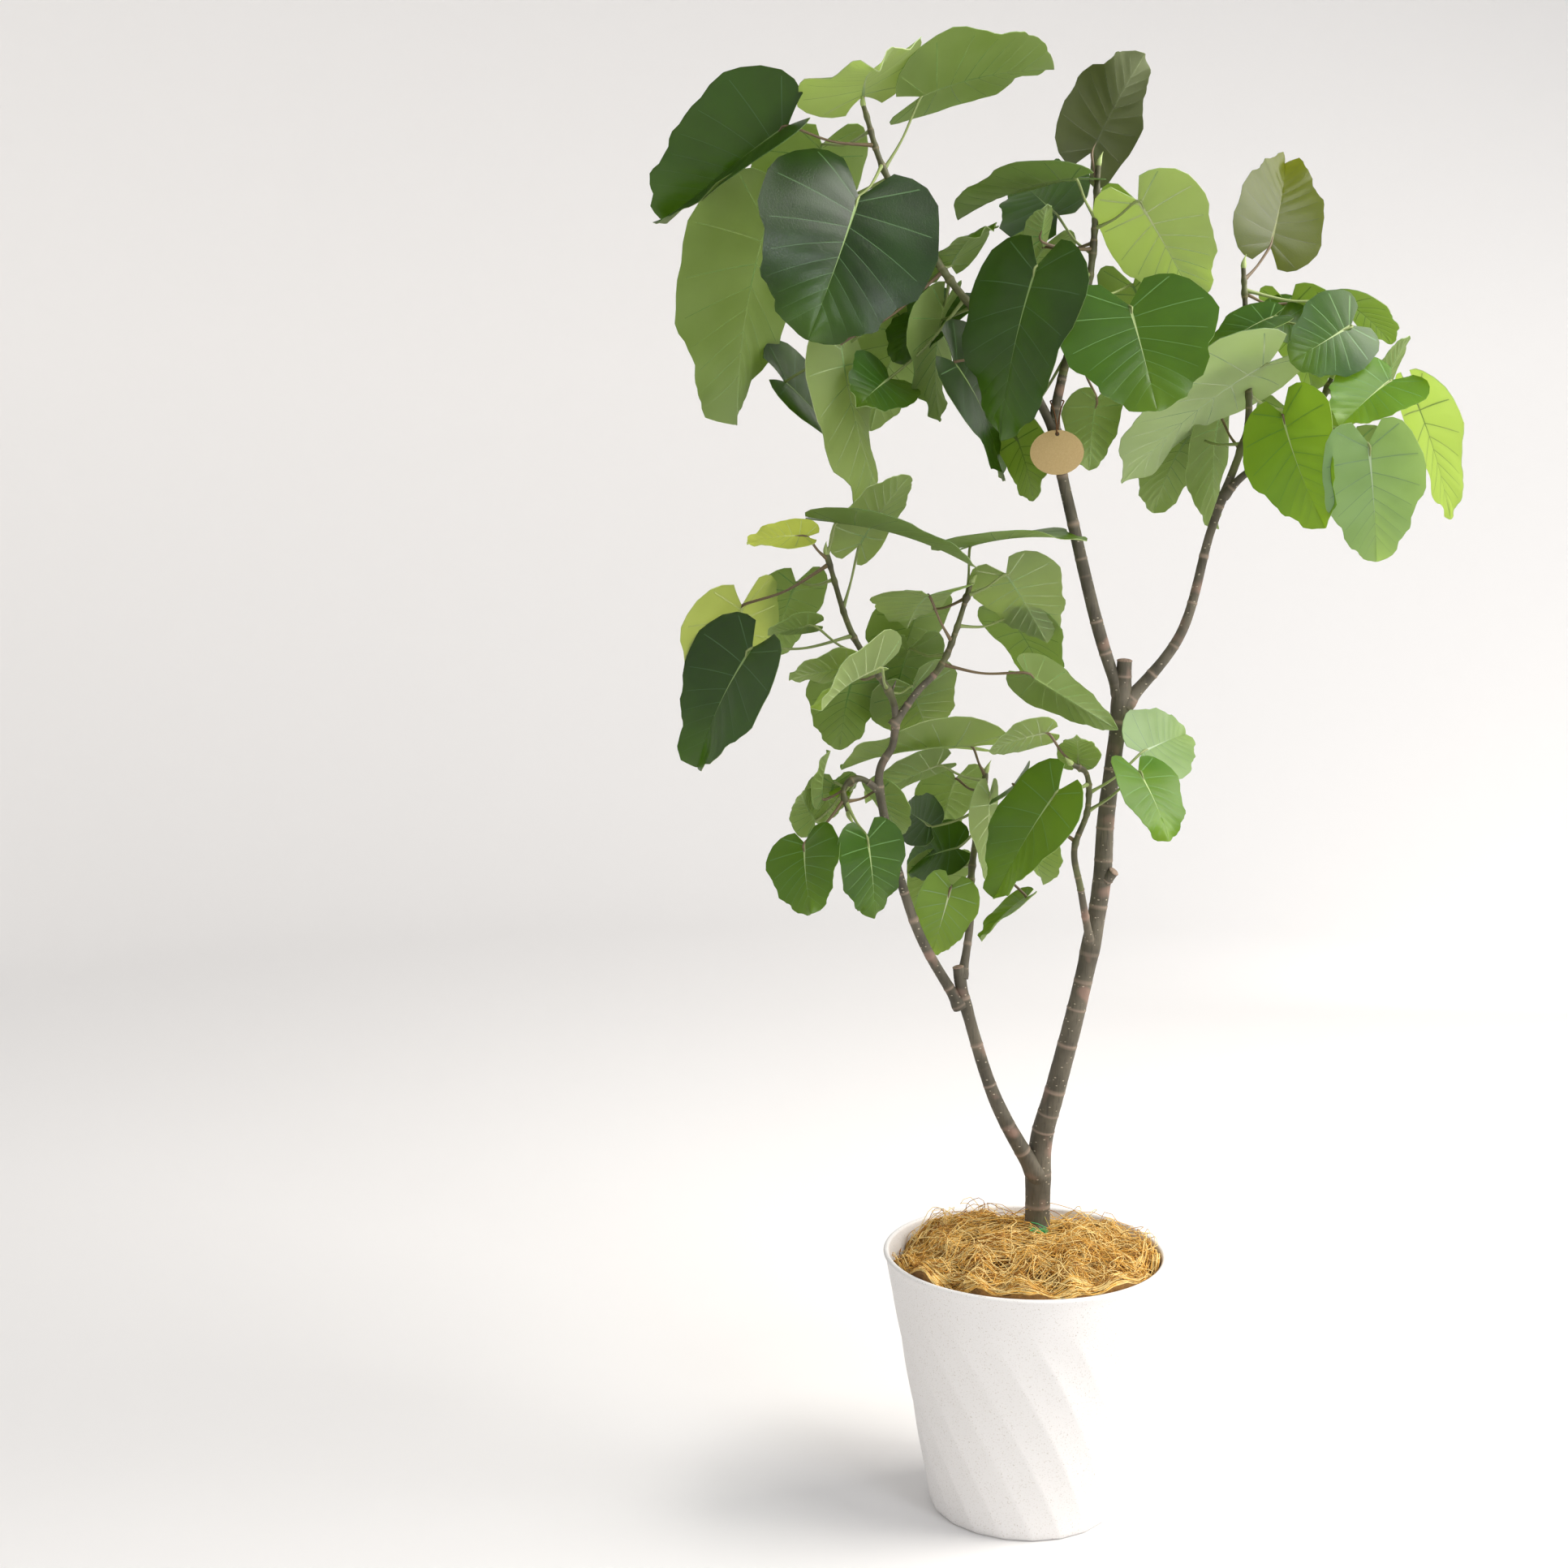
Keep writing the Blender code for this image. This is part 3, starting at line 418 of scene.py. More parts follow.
# The pot narrows downwards, so what lies lower is drawn in from the wall.
in_wall = add("ShaderNodeMapRange", Value=z, From_Max=POT_HEIGHT, To_Min=FOOT_RADIUS - POT_WALL - COIR_GAP,
              To_Max=outer_radius(POT_HEIGHT) - POT_WALL - COIR_GAP)
drawn_in = add("ShaderNodeMath", in_wall, radius, operation="DIVIDE")
drawn_in = add("ShaderNodeMath", drawn_in, 1.0, operation="MINIMUM")
narrow = add("ShaderNodeVectorMath", flat_spot, Scale=drawn_in, operation="SCALE")
narrow = add("ShaderNodeVectorMath", narrow, add("ShaderNodeCombineXYZ", Z=z), operation="ADD")
fitted = add("GeometryNodeSetPosition", Geometry=whole, Position=narrow)
add("NodeGroupOutput", fitted)

bed_profile = [(MULCH_RADIUS * k / BED_ROWS, COIR_EDGE) for k in range(BED_ROWS + 1)]
bed_profile += [(MULCH_RADIUS - 0.008, COIR_EDGE - MULCH_DEEP), (0, COIR_EDGE - MULCH_DEEP)]
mulch = grown(turned("mulch_bed", bed_profile, 128), tree, sizes, "coir_mulch")
mulch.data.shade_smooth()
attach(mulch, "root")
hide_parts("coir_fill")


# Trunk and boughs
# The woody limbs of a young tree: smooth living bark, grey-brown and olive, ringed by the scars of old leaf
# sheaths and dotted with pale lenticels. They were pruned: three healed stubs are left. Each limb grows out
# of its parent.

Shoot = namedtuple("Shoot", "bough mass parent bare far points radii")
FINE_STEP_MM = 2.5
COARSE_STEP_MM = 22.0
UNEVEN_RATE = 9.0
UNEVEN_RINGS = 3.0
TRUNK_SWELL_MM = (1.2, 16)
LEFT_SWELL_MM = (0.7, 10)
BOUGH_SWELL_MM = (0.6, 9)
LEFT_COLLAR = (12, 0.35, 12)
DOME_SHARES = (1.06, 1.06, 0.32, 1)

TRUNK_POINTS_MM = (
    (13, 30, 302), (15, 24, 387), (30, 16, 453), (49, 10, 535), (64, 8, 609), (74, 10, 677),
    (77, 10, 742), (84, 10, 807), (91, 10, 871), (93, 10, 907),
)
TRUNK_RADII_MM = (13.5, 12.2, 10.8, 10.0, 9.2, 9.6, 9.0, 8.4, 8.2, 7.6)
TRUNK_FLARE_MM = 15.5
TRUNK_SINK_MM = 10.0

LEFT_BOUGH_POINTS_MM = ((14, 24, 352), (-21, -2, 419), (-43, -10, 473), (-66, -18, 553), (-73, -20, 589))
LEFT_BOUGH_RADII_MM = (9.0, 7.9, 6.6, 6.0, 5.6)

# A shoot's route runs from inside its parent to its tip. Up to the length bare it is a bough with bark.
SHOOTS = {
    "leader": Shoot(
        "leader_bough", "crown_centre", "trunk", 338, 4,
        ((90, 10, 868), (67, 5, 935), (41, 0, 1035), (19, 0, 1135), (25, 0, 1195), (50, 0, 1289),
         (57, 0, 1400)),
        (5.8, 6.6, 6.0, 5.4, 4.6, 3.6, 2.6),
    ),
    "right": Shoot(
        "right_bough", "right_crown", "trunk", 262, 4,
        ((93, 10, 860), (150, 20, 935), (178, 30, 1038), (206, 30, 1120), (213, 30, 1150), (211, 30, 1206),
         (204, 30, 1302)),
        (6.4, 5.2, 4.4, 4.0, 3.6, 3.2, 2.4),
    ),
    "upper_left": Shoot(
        "upper_left_bough", "upper_left_crown", "leader", 120, 5,
        ((20, 0, 1136), (-14, -6, 1197), (-52, -14, 1245), (-99, -20, 1303), (-152, -30, 1390),
         (-175, -30, 1457)),
        (4.6, 4.3, 4.0, 3.6, 3.0, 2.4),
    ),
    "right_side": Shoot(
        "right_side_bough", "right_side_foliage", "right", 55, 3,
        ((190, 30, 1074), (210, 22, 1096), (240, 6, 1116), (272, -10, 1151), (288, -20, 1190)),
        (4.0, 3.7, 3.4, 2.9, 2.4),
    ),
    "outer": Shoot(
        "left_outer_bough", "mid_left_foliage", "left_bough", 340, 3,
        ((-70, -19, 546), (-118, -40, 640), (-154, -50, 779), (-140, -50, 827), (-142, -50, 872),
         (-181, -70, 938), (-204, -100, 1018)),
        (5.6, 5.0, 4.4, 3.9, 3.6, 3.0, 2.3),
    ),
    "inner_right": Shoot(
        "middle_bough", "mid_right_foliage", "outer", 68, 3,
        ((-141, -50, 843), (-117, -45, 877), (-89, -40, 911), (-64, -20, 986)),
        (4.0, 3.6, 3.2, 2.3),
    ),
    "inner": Shoot(
        "left_inner_bough", "inner_foliage", "left_bough", 92, 3,
        ((-69, -19, 577), (-62, 0, 629), (-61, 20, 686), (-48, 40, 785)),
        (4.4, 4.0, 3.6, 2.5),
    ),
    "low_right": Shoot(
        "low_right_bough", "low_right_foliage", "trunk", 78, 0,
        ((64, 6, 608), (52, -30, 673), (44, -50, 719), (56, -60, 760), (55, -70, 798), (39, -80, 811)),
        (4.2, 3.6, 3.2, 2.9, 2.6, 2.2),
    ),
    "low_left": Shoot(
        "low_left_bough", "low_left_foliage", "outer", 16, 2,
        ((-153, -50, 777), (-174, -58, 790), (-189, -66, 780), (-184, -72, 757)),
        (3.4, 3.0, 2.6, 2.2),
    ),
}


def route(points, radii, step):
    """A smooth line through the points, in mm, as (place, radius) about every step."""
    ends = [Vector(p) for p in points]
    ends = [2 * ends[0] - ends[1], *ends, 2 * ends[-1] - ends[-2]]
    run = []
    for i in range(1, len(ends) - 2):
        a, b, c, d = ends[i - 1:i + 3]
        count = max(1, round((c - b).length / step))
        for k in range(count):
            t = k / count
            place = 2 * b + (c - a) * t + (2 * a - 5 * b + 4 * c - d) * t**2
            place = 0.5 * (place + (3 * b - 3 * c + d - a) * t**3)
            run.append((place, radii[i - 1] + (radii[i] - radii[i - 1]) * t))
    run.append((ends[-2], radii[-1]))
    return run


def lengths(run):
    total = [0.0]
    for (a, _), (b, _) in zip(run, run[1:]):
        total.append(total[-1] + (b - a).length)
    return total


def along(run, length):
    """The place, radius and direction at a length along the route."""
    total = lengths(run)
    length = min(max(length, 0.0), total[-1])
    i = max(k for k in range(len(run) - 1) if total[k] <= length)
    t = (length - total[i]) / (total[i + 1] - total[i])
    (a, r), (b, s) = run[i:i + 2]
    return a.lerp(b, t), r + (s - r) * t, (b - a).normalized()


def swollen(run, centres, rise_mm, width_mm):
    """The route with its radius raised in a smooth ring round each length in centres."""
    made = []
    for (place, radius), length in zip(run, lengths(run)):
        bulge = sum(math.exp(-((length - c) / width_mm) ** 2) for c in centres)
        made.append((place, radius + rise_mm * bulge))
    return made


def collared(run, parent_radius, share=0.5, reach_mm=7.0):
    """The route of a bough that widens into a collar where it leaves its parent."""
    made = []
    for (place, radius), length in zip(run, lengths(run)):
        past = max(0.0, length - parent_radius)
        made.append((place, radius * (1 + share * math.exp(-past / reach_mm))))
    return made


def limb_lines(name, runs):
    """A curve object with one line for each limb, whose radius is the limb's own."""
    curve = bpy.data.curves.new(name, "CURVE")
    curve.dimensions = "3D"
    for run in runs:
        spline = curve.splines.new("POLY")
        spline.points.add(len(run) - 1)
        for point, (place, radius) in zip(spline.points, run):
            point.co = (*(place * MM), 1.0)
            point.radius = radius * MM
    return add_object(name, curve)


# Living bark: a thin waxy olive-grey skin, dull, with fine streaks along the limb, darker lines in its ring
# scars and pale corky lenticels about 2 mm wide.
bark, add, shader, place = new_material("living_ficus_bark", 0.68)
tone, _ = mottled(add, place, 34 * MM, "#4A4538", "#665F50")
streaked = add("ShaderNodeMapping", Vector=place, Scale=(1.0, 1.0, 0.12))
streaks = add("ShaderNodeTexNoise", Vector=streaked, Scale=1 / (2.2 * MM), Detail=3.0)
dark_streak = add("ShaderNodeMapRange", Value=streaks, From_Min=0.52, From_Max=0.75, To_Max=0.55)
ring = add("ShaderNodeAttribute", attribute_name="ring").outputs["Fac"]
scar = add("ShaderNodeMath", ring, 0.85, operation="MULTIPLY")
rare_patch = add("ShaderNodeTexNoise", Vector=place, Scale=1 / (26 * MM), Detail=1.0)
ruddy = add("ShaderNodeMapRange", Value=rare_patch, From_Min=0.6, From_Max=0.72, To_Max=0.7)
wide_cells = add("ShaderNodeMapping", Vector=place, Scale=(1.0, 1.0, 1.7))
dots = add("ShaderNodeTexVoronoi", Vector=wide_cells, Scale=1 / (8.5 * MM))
lenticel = add("ShaderNodeMapRange", Value=dots, From_Min=0.16, From_Max=0.11)
for share, code in ((dark_streak, "#332F27"), (scar, "#998675"), (ruddy, "#917466"), (lenticel, "#A89D88")):
    tone = add("ShaderNodeMix", Factor=share, A=tone, B=linear(code), data_type="RGBA")
relief = add("ShaderNodeMath", streaks, lenticel, operation="ADD")
rough = add("ShaderNodeBump", Strength=0.6, Distance=0.5 * MM, Height=relief)
feed(shader, Base_Color=tone, Normal=rough)

limb_sizes = {"Sides": 24, "Row length": 2.0 * MM, "Ring spacing": 0.034, "Ring width": 0.0019,
              "Ring rise": 0.0005, "Relief": 0.0009, "Relief size": 0.013, "Seed": 3, "Material": bark}
limb_tree, add, size = new_tree("ringed_limb", limb_sizes)
fine = add("GeometryNodeResampleCurve", Curve=size["Geometry"], Length=size["Row length"], mode="LENGTH")
length = add("GeometryNodeSplineParameter").outputs["Length"]
phase = add("FunctionNodeRandomValue", Max=1.0, Seed=size["Seed"])
fine = add("GeometryNodeStoreNamedAttribute", Geometry=fine, Name="phase", Value=phase, domain="CURVE")
own_phase = add("GeometryNodeInputNamedAttribute", Name="phase", data_type="FLOAT")
stretched = add("ShaderNodeMath", length, UNEVEN_RATE, operation="MULTIPLY")
uneven = add("ShaderNodeTexNoise", W=stretched, Scale=1.0, Detail=1.0, noise_dimensions="1D")
uneven = add("ShaderNodeMath", uneven, UNEVEN_RINGS, operation="MULTIPLY")
count = add("ShaderNodeMath", length, size["Ring spacing"], operation="DIVIDE")
for part in (uneven, own_phase):
    count = add("ShaderNodeMath", count, part, operation="ADD")
off_ring = add("ShaderNodeMath", count, 0.5, operation="PINGPONG")
off_ring = add("ShaderNodeMath", off_ring, size["Ring spacing"], operation="MULTIPLY")
ring_here = add("ShaderNodeMapRange", Value=off_ring, From_Min=size["Ring width"], From_Max=0.0,
                interpolation_type="SMOOTHSTEP")
fine = add("GeometryNodeStoreNamedAttribute", Geometry=fine, Name="ring", Value=ring_here)
rise = add("ShaderNodeMath", ring_here, size["Ring rise"], operation="MULTIPLY")
girth = add("ShaderNodeMath", add("GeometryNodeInputRadius"), rise, operation="ADD")
fine = add("GeometryNodeSetCurveRadius", Curve=fine, Radius=girth)
round_profile = add("GeometryNodeCurvePrimitiveCircle", Resolution=size["Sides"], Radius=1.0)
skin = add("GeometryNodeCurveToMesh", Curve=fine, Profile_Curve=round_profile,
           Scale=add("GeometryNodeInputRadius"), Fill_Caps=True)
lump_rate = add("ShaderNodeMath", 1.0, size["Relief size"], operation="DIVIDE")
lumps = add("ShaderNodeTexNoise", Scale=lump_rate, Detail=3.0)
push = add("ShaderNodeMath", lumps, 0.5, operation="SUBTRACT")
push = add("ShaderNodeMath", push, size["Relief"], operation="MULTIPLY")
raised = add("ShaderNodeVectorMath", add("GeometryNodeInputNormal"), Scale=push, operation="SCALE")
skin = add("GeometryNodeSetPosition", Geometry=skin, Offset=raised)
skin = add("GeometryNodeSetShadeSmooth", Geometry=skin)
skin = add("GeometryNodeRealizeInstances", skin)
skin = add("GeometryNodeSetMaterial", Geometry=skin, Material=size["Material"])
add("NodeGroupOutput", skin)

foot = Vector((*TRUNK_POINTS_MM[0][:2], COIR_SEAT / MM - TRUNK_SINK_MM))
coarse = {name: route(shoot.points, shoot.radii, COARSE_STEP_MM) for name, shoot in SHOOTS.items()}
fine_routes = {name: route(shoot.points, shoot.radii, FINE_STEP_MM) for name, shoot in SHOOTS.items()}
fine_routes["trunk"] = [(foot, TRUNK_FLARE_MM), *route(TRUNK_POINTS_MM, TRUNK_RADII_MM, FINE_STEP_MM)]
fine_routes["left_bough"] = route(LEFT_BOUGH_POINTS_MM, LEFT_BOUGH_RADII_MM, FINE_STEP_MM)


def forks_of(parent):
    """The lengths along a parent where other limbs leave it."""
    run = fine_routes[parent]
    starts = [fine_routes[name][0][0] for name, shoot in SHOOTS.items() if shoot.parent == parent]
    if parent == "trunk":
        starts.append(fine_routes["left_bough"][0][0])
    total = lengths(run)
    return [total[min(range(len(run)), key=lambda k: (run[k][0] - start).length)] for start in starts]


def up_to(run, end):
    total = lengths(run)
    return [run[k] for k in range(len(run)) if total[k] < end - 0.5] + [along(run, end)[:2]]


def past(run, start):
    total = lengths(run)
    return [along(run, start)[:2]] + [run[k] for k in range(len(run)) if total[k] > start + 0.5]


trunk_run = swollen(fine_routes["trunk"], forks_of("trunk"), *TRUNK_SWELL_MM)
trunk = grown(limb_lines("trunk_line", [trunk_run]), limb_tree, limb_sizes, "trunk_with_bark")
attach(trunk, "root")
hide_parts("trunk")

left_run = collared(fine_routes["left_bough"], *LEFT_COLLAR)
bough_runs = [swollen(left_run, forks_of("left_bough"), *LEFT_SWELL_MM)]
for name, shoot in SHOOTS.items():
    bough = up_to(fine_routes[name], shoot.bare)
    start = fine_routes[name][0][0]
    parent_radius = min(fine_routes[shoot.parent], key=lambda point: (point[0] - start).length)[1]
    forks = [fork for fork in forks_of(name) if fork < shoot.bare]
    bough_runs.append(swollen(collared(bough, parent_radius), forks, *BOUGH_SWELL_MM))
bough_sizes = {**limb_sizes, "Sides": 18, "Relief": 0.0006}
boughs = grown(limb_lines("bough_lines", bough_runs), limb_tree, bough_sizes, "boughs_with_bark")
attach(boughs, "root")
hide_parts("left_bough", *[shoot.bough for shoot in SHOOTS.values()])

# Healed pruning cuts: a stub of a few millimetres whose end has callused over, pinkish-brown at the rim and
# dark in the middle. The domed ends here are mottled in the two colours.
callus, add, shader, place = new_material("callused_cut", 0.8)
tone, grain = mottled(add, place, 2.5 * MM, "#4B3A2C", "#B29A88", 3.0, (0, 1))
feed(shader, Base_Color=tone, Normal=add("ShaderNodeBump", Strength=0.8, Distance=0.8 * MM, Height=grain))

SIDE_STUB_MM = ((74, 10, 672), (82, 4, 684), (86, 2, 689))
side_stub = [(Vector(SIDE_STUB_MM[0]), 6.6), (Vector(SIDE_STUB_MM[1]), 6.0), (Vector(SIDE_STUB_MM[2]), 5.4)]
# Two thin stubs of old leaf stalks stand at the outer fork.
PEG_ENDS_MM = (((-146, -51, 878), (-150, -52, 894)), ((-144, -50, 872), (-138, -49, 889)))
PEG_RADII_MM = (1.8, 1.5, 1.2, 0.9, 0.6)
pegs = [[(Vector(low).lerp(Vector(high), k / 4), radius) for k, radius in enumerate(PEG_RADII_MM)]
        for low, high in PEG_ENDS_MM]
stub_sizes = {**limb_sizes, "Row length": 1.0 * MM}
stubs = grown(limb_lines("stub_line", [side_stub, *pegs]), limb_tree, stub_sizes, "pruned_stubs")
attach(stubs, "root")

shape = bmesh.new()
for run in (trunk_run, bough_runs[0], side_stub):
    end, radius, ahead = along(run, lengths(run)[-1])
    seat = Matrix.Translation(end * MM) @ ahead.to_track_quat("Z", "Y").to_matrix().to_4x4()
    domed = seat @ Matrix.Diagonal(DOME_SHARES)
    bmesh.ops.create_uvsphere(shape, u_segments=20, v_segments=12, radius=radius * MM, matrix=domed)
# Numbered by their places, the points and faces come out in the same order each run.
for items, place_of in ((shape.verts, lambda vert: vert.co[:]),
                        (shape.faces, lambda face: face.calc_center_median()[:])):
    for number, item in enumerate(sorted(items, key=place_of)):
        item.index = number
    items.sort()
cuts_mesh = bpy.data.meshes.new("callused_cuts")
shape.to_mesh(cuts_mesh)
shape.free()
cuts_mesh.shade_smooth()
cuts_mesh.materials.append(callus)
cuts = add_object("callused_cuts", cuts_mesh)
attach(cuts, "root")


# Leafy shoots
# The young ends of the boughs: green-brown stems as thick as a pencil, swollen at each leaf joint, and leaf
# stalks that spring from them in a slight curve. A pointed bud, wrapped in its sheath, closes each shoot.

# One row is one leaf. Its stalk leaves the shoot's route at the length at, in mm, towards a heading and a
# rise, and is stalk mm long. Its blade points towards face, pitched up or down and rolled, and is size mm
# long. Headings: 0 is to the right, 90 away from the viewer, 180 to the left and 270 towards the viewer.
# The tint picks the leaf's skins; some tints are lit and shaded copies of the same green, painted light and
# painted shade.
Leaf = namedtuple("Leaf", "at heading rise stalk face pitch roll size fold wide tint",
                  defaults=(8, 0.85, "mid"))

LEAVES = {
    "upper_left": (
        Leaf(340, 200, 10, 90, 155, -25, -75, 175, 40, 0.7, "deep"),
        Leaf(320, 255, -30, 80, 250, -55, -40, 150, 8, 1.05, "deep"),
        Leaf(305, 175, -15, 125, 165, -70, 20, 205, 8, 0.75),
        Leaf(370, 135, 75, 20, 275, 10, 20, 165, 8, 0.7, "soft"),
        Leaf(315, 35, 60, 85, 20, 25, -25, 135, 8, 0.9),
        Leaf(210, 165, -35, 200, 50, -30, 50, 145, 8, 0.75, "deep"),
        Leaf(200, 185, -35, 125, 50, -80, -105, 170, 8, 0.6, "soft"),
        Leaf(165, 170, -45, 110, 255, -15, -40, 75, 8, 0.9), Leaf(215, 80, 0, 75, 290, 30, 25, 90),
        Leaf(190, 95, -10, 85, 225, -35, -15, 90, tint="deep"), Leaf(190, 100, -30, 45, 145, -70, -15, 115),
    ),
    "leader": (
        Leaf(525, 160, 80, 35, 25, 65, -70, 105, 8, 0.9, "dusk"),
        Leaf(495, 235, 45, 50, 160, 0, 5, 125, 8, 0.7, "deep"),
        Leaf(460, 115, 30, 95, 120, 30, -50, 105, tint="deep"), Leaf(465, 210, 5, 60, 275, 60, 30, 40, 30),
        Leaf(485, 325, 25, 55, 40, -45, -35, 120, 8, 0.8, "soft"),
        Leaf(440, 240, 0, 105, 205, -70, -30, 165, 8, 0.7, "deep"),
        Leaf(385, 195, -15, 130, 50, -40, 70, 160, 8, 0.7, "deep"),
        Leaf(365, 145, -50, 105, 345, -65, -60, 75, 8, 0.8),
        Leaf(400, 295, 0, 105, 285, -45, 15, 125, 8, 1.05), Leaf(375, 25, -65, 65, 105, -55, -5, 75, 8, 0.75),
    ),
    "right": (
        Leaf(460, 40, 45, 50, 60, 60, 45, 120, 8, 0.7, "olive"),
        Leaf(450, 10, -5, 100, 30, -20, 0, 75, 8, 0.9), Leaf(430, 335, -10, 110, 220, -25, -70, 75, 8, 1.0),
        Leaf(415, 60, 15, 60, 345, -25, 45, 65), Leaf(420, 300, 0, 45, 190, -20, -25, 70),
        Leaf(380, 285, -5, 60, 150, -25, 10, 190, 8, 0.7, "hazy"),
        Leaf(290, 110, 35, 65, 115, -65, -35, 120, 8, 0.7),
    ),
    "right_side": (
        Leaf(85, 255, 35, 50, 290, -60, 60, 120, 8, 0.75, "fresh"),
        Leaf(125, 300, -20, 90, 30, -80, 115, 115, 8, 0.75, "hazy"),
        Leaf(155, 355, 5, 60, 225, -25, -30, 80, 8, 0.95, "fresh"),
        Leaf(155, 15, -5, 90, 0, -65, -15, 125, 8, 0.8, "soft"), Leaf(150, 40, 0, 80, 330, 75, 0, 60),
    ),
    "outer": (
        Leaf(505, 170, -25, 100, 120, -65, -20, 125, 8, 0.9, "lime"),
        Leaf(425, 210, -5, 110, 175, -55, -60, 140, 8, 0.7, "deep"), Leaf(400, 230, 25, 80, 190, -5, 30, 45),
        Leaf(510, 225, 40, 35, 180, 5, -35, 60, 8, 0.7, "lime"),
        Leaf(515, 315, 65, 35, 5, -5, -5, 140, tint="deep"),
        Leaf(455, 25, 75, 65, 345, 60, -20, 85, 8, 0.9, "soft"),
        Leaf(390, 260, 0, 60, 185, 0, 40, 65, 8, 0.7, "soft"),
        Leaf(360, 270, 20, 75, 230, -10, 40, 100, 20, 0.8, "soft"),
        Leaf(355, 75, 0, 75, 80, -40, -30, 85, 8, 1.0, "soft"),
    ),
    "inner_right": (
        Leaf(105, 215, 60, 55, 110, -10, -5, 90, 8, 1.0, "soft"),
        Leaf(155, 0, 30, 45, 55, -40, -25, 95, tint="soft"), Leaf(155, 85, 65, 55, 335, 15, 0, 125),
        Leaf(80, 355, -5, 85, 25, -30, -80, 110, 40, 0.5),
    ),
    "inner": (
        Leaf(215, 200, 65, 35, 195, 5, 20, 140, tint="soft"),
        Leaf(210, 205, 20, 55, 175, -20, 30, 85, 8, 0.75, "soft"),
        Leaf(205, 280, -5, 40, 205, -85, 45, 90, 8, 0.7, "soft"),
        Leaf(150, 10, -50, 85, 195, -30, 0, 65, 8, 0.7),
        Leaf(180, 185, -20, 55, 130, 15, -65, 60, tint="deep"),
        Leaf(160, 135, -40, 40, 160, -15, -55, 70, tint="deep"),
        Leaf(105, 235, -5, 35, 200, -75, -75, 75, 8, 0.75, "soft"),
    ),
    "low_right": (
        Leaf(225, 180, 50, 45, 180, -10, 45, 60, 8, 0.7, "soft"), Leaf(220, 95, 20, 15, 265, 55, 0, 45),
        Leaf(200, 240, 0, 60, 175, -55, -45, 125, 8, 0.7),
        Leaf(135, 165, 40, 85, 100, -5, -45, 60, tint="deep"),
        Leaf(190, 35, 30, 75, 55, 10, 55, 105, 8, 0.7, "hazy"),
        Leaf(170, 0, 40, 65, 305, -40, -5, 80, 8, 0.9, "fresh"),
    ),
    "low_left": (
        Leaf(55, 220, -40, 65, 275, -40, 30, 80, 8, 0.9), Leaf(60, 305, -35, 50, 15, -80, 70, 85, 8, 0.8),
        Leaf(40, 155, -45, 55, 240, 45, 70, 50), Leaf(35, 180, -30, 35, 265, 65, 80, 60, 20, 0.5),
        Leaf(30, 105, -20, 45, 140, 10, -45, 30, tint="fresh"),
    ),
}

# Far leaves grow on the side away from the viewer by this rule, drooping from stalks fanned out behind the
# shoot.
ROOT_CLEAR_MM = 9.0
FAR_HEADING = 88.0
FAR_SPREAD = 32.0
FAR_PITCH = -45.0
FAR_VARIES = 8.0
FAR_RISE = 12.0
FAR_SIZE = 0.95
FAR_STALK = 0.85
LEAF_CURL = 22.0
CURL_VARIES = 8.0
STALK_SAG = 0.06
STALK_SINK_MM = 12.0
STALK_RADII_MM = (1.9, 1.25, 1.5, 0.7)
STALK_STEP_MM = 4.0
STALK_COLLAR = (3.0, 0.35, 4.0)
JOINT_SWELL_MM = (0.8, 3.0)
PROBED_AT = (0.33, 0.68)
PROBE_REACH = 2 * MM

# The heart's margin: how it leaves the sinus, swells in a lobe and draws in to a drip tip.
SWEPT = 62
LOBE_TURN = 85
LOBE_REACH = 0.2
SINUS_REACH = 0.30
LOBE_SWELL = 0.42
SWELL_RATE = 10
TIP_POWER = 0.60
DRIP_TIP = 0.035
DRIP_POWER = 24
PINCH_REACH = 0.03
DRIP_PINCH = 0.45
VEIN_SWEEP = 1.45
VEIN_BOW = 0.09
BOW_FROM = 0.12


def direction(heading, rise):
    h, r = math.radians(heading), math.radians(rise)
    return Vector((math.cos(r) * math.cos(h), math.cos(r) * math.sin(h), math.sin(r)))


def blade_axes(leaf):
    """The matrix whose columns are the blade's length, its left side and its upper face's normal."""
    ahead = direction(leaf.face, leaf.pitch)
    right = direction(leaf.face - 90, 0)
    roll = math.radians(leaf.roll)
    normal = right.cross(ahead) * math.cos(roll) + right * math.sin(roll)
    return Matrix((ahead, normal.cross(ahead), normal)).transposed()


def margin_places(s, wide):
    """Places on half the margin of a heart of length 1, from the sinus at s = 0 to the tip at s = 1."""
    angle = np.radians(SWEPT + LOBE_TURN * np.exp(-s / LOBE_REACH))
    pinch = 1 - DRIP_PINCH * np.exp((s - 1) / PINCH_REACH)
    reach = wide * (1 - s) ** TIP_POWER * (SINUS_REACH + LOBE_SWELL * (1 - np.exp(-SWELL_RATE * s))) * pinch
    return s + DRIP_TIP * s**DRIP_POWER + reach * np.cos(angle), reach * np.sin(angle)


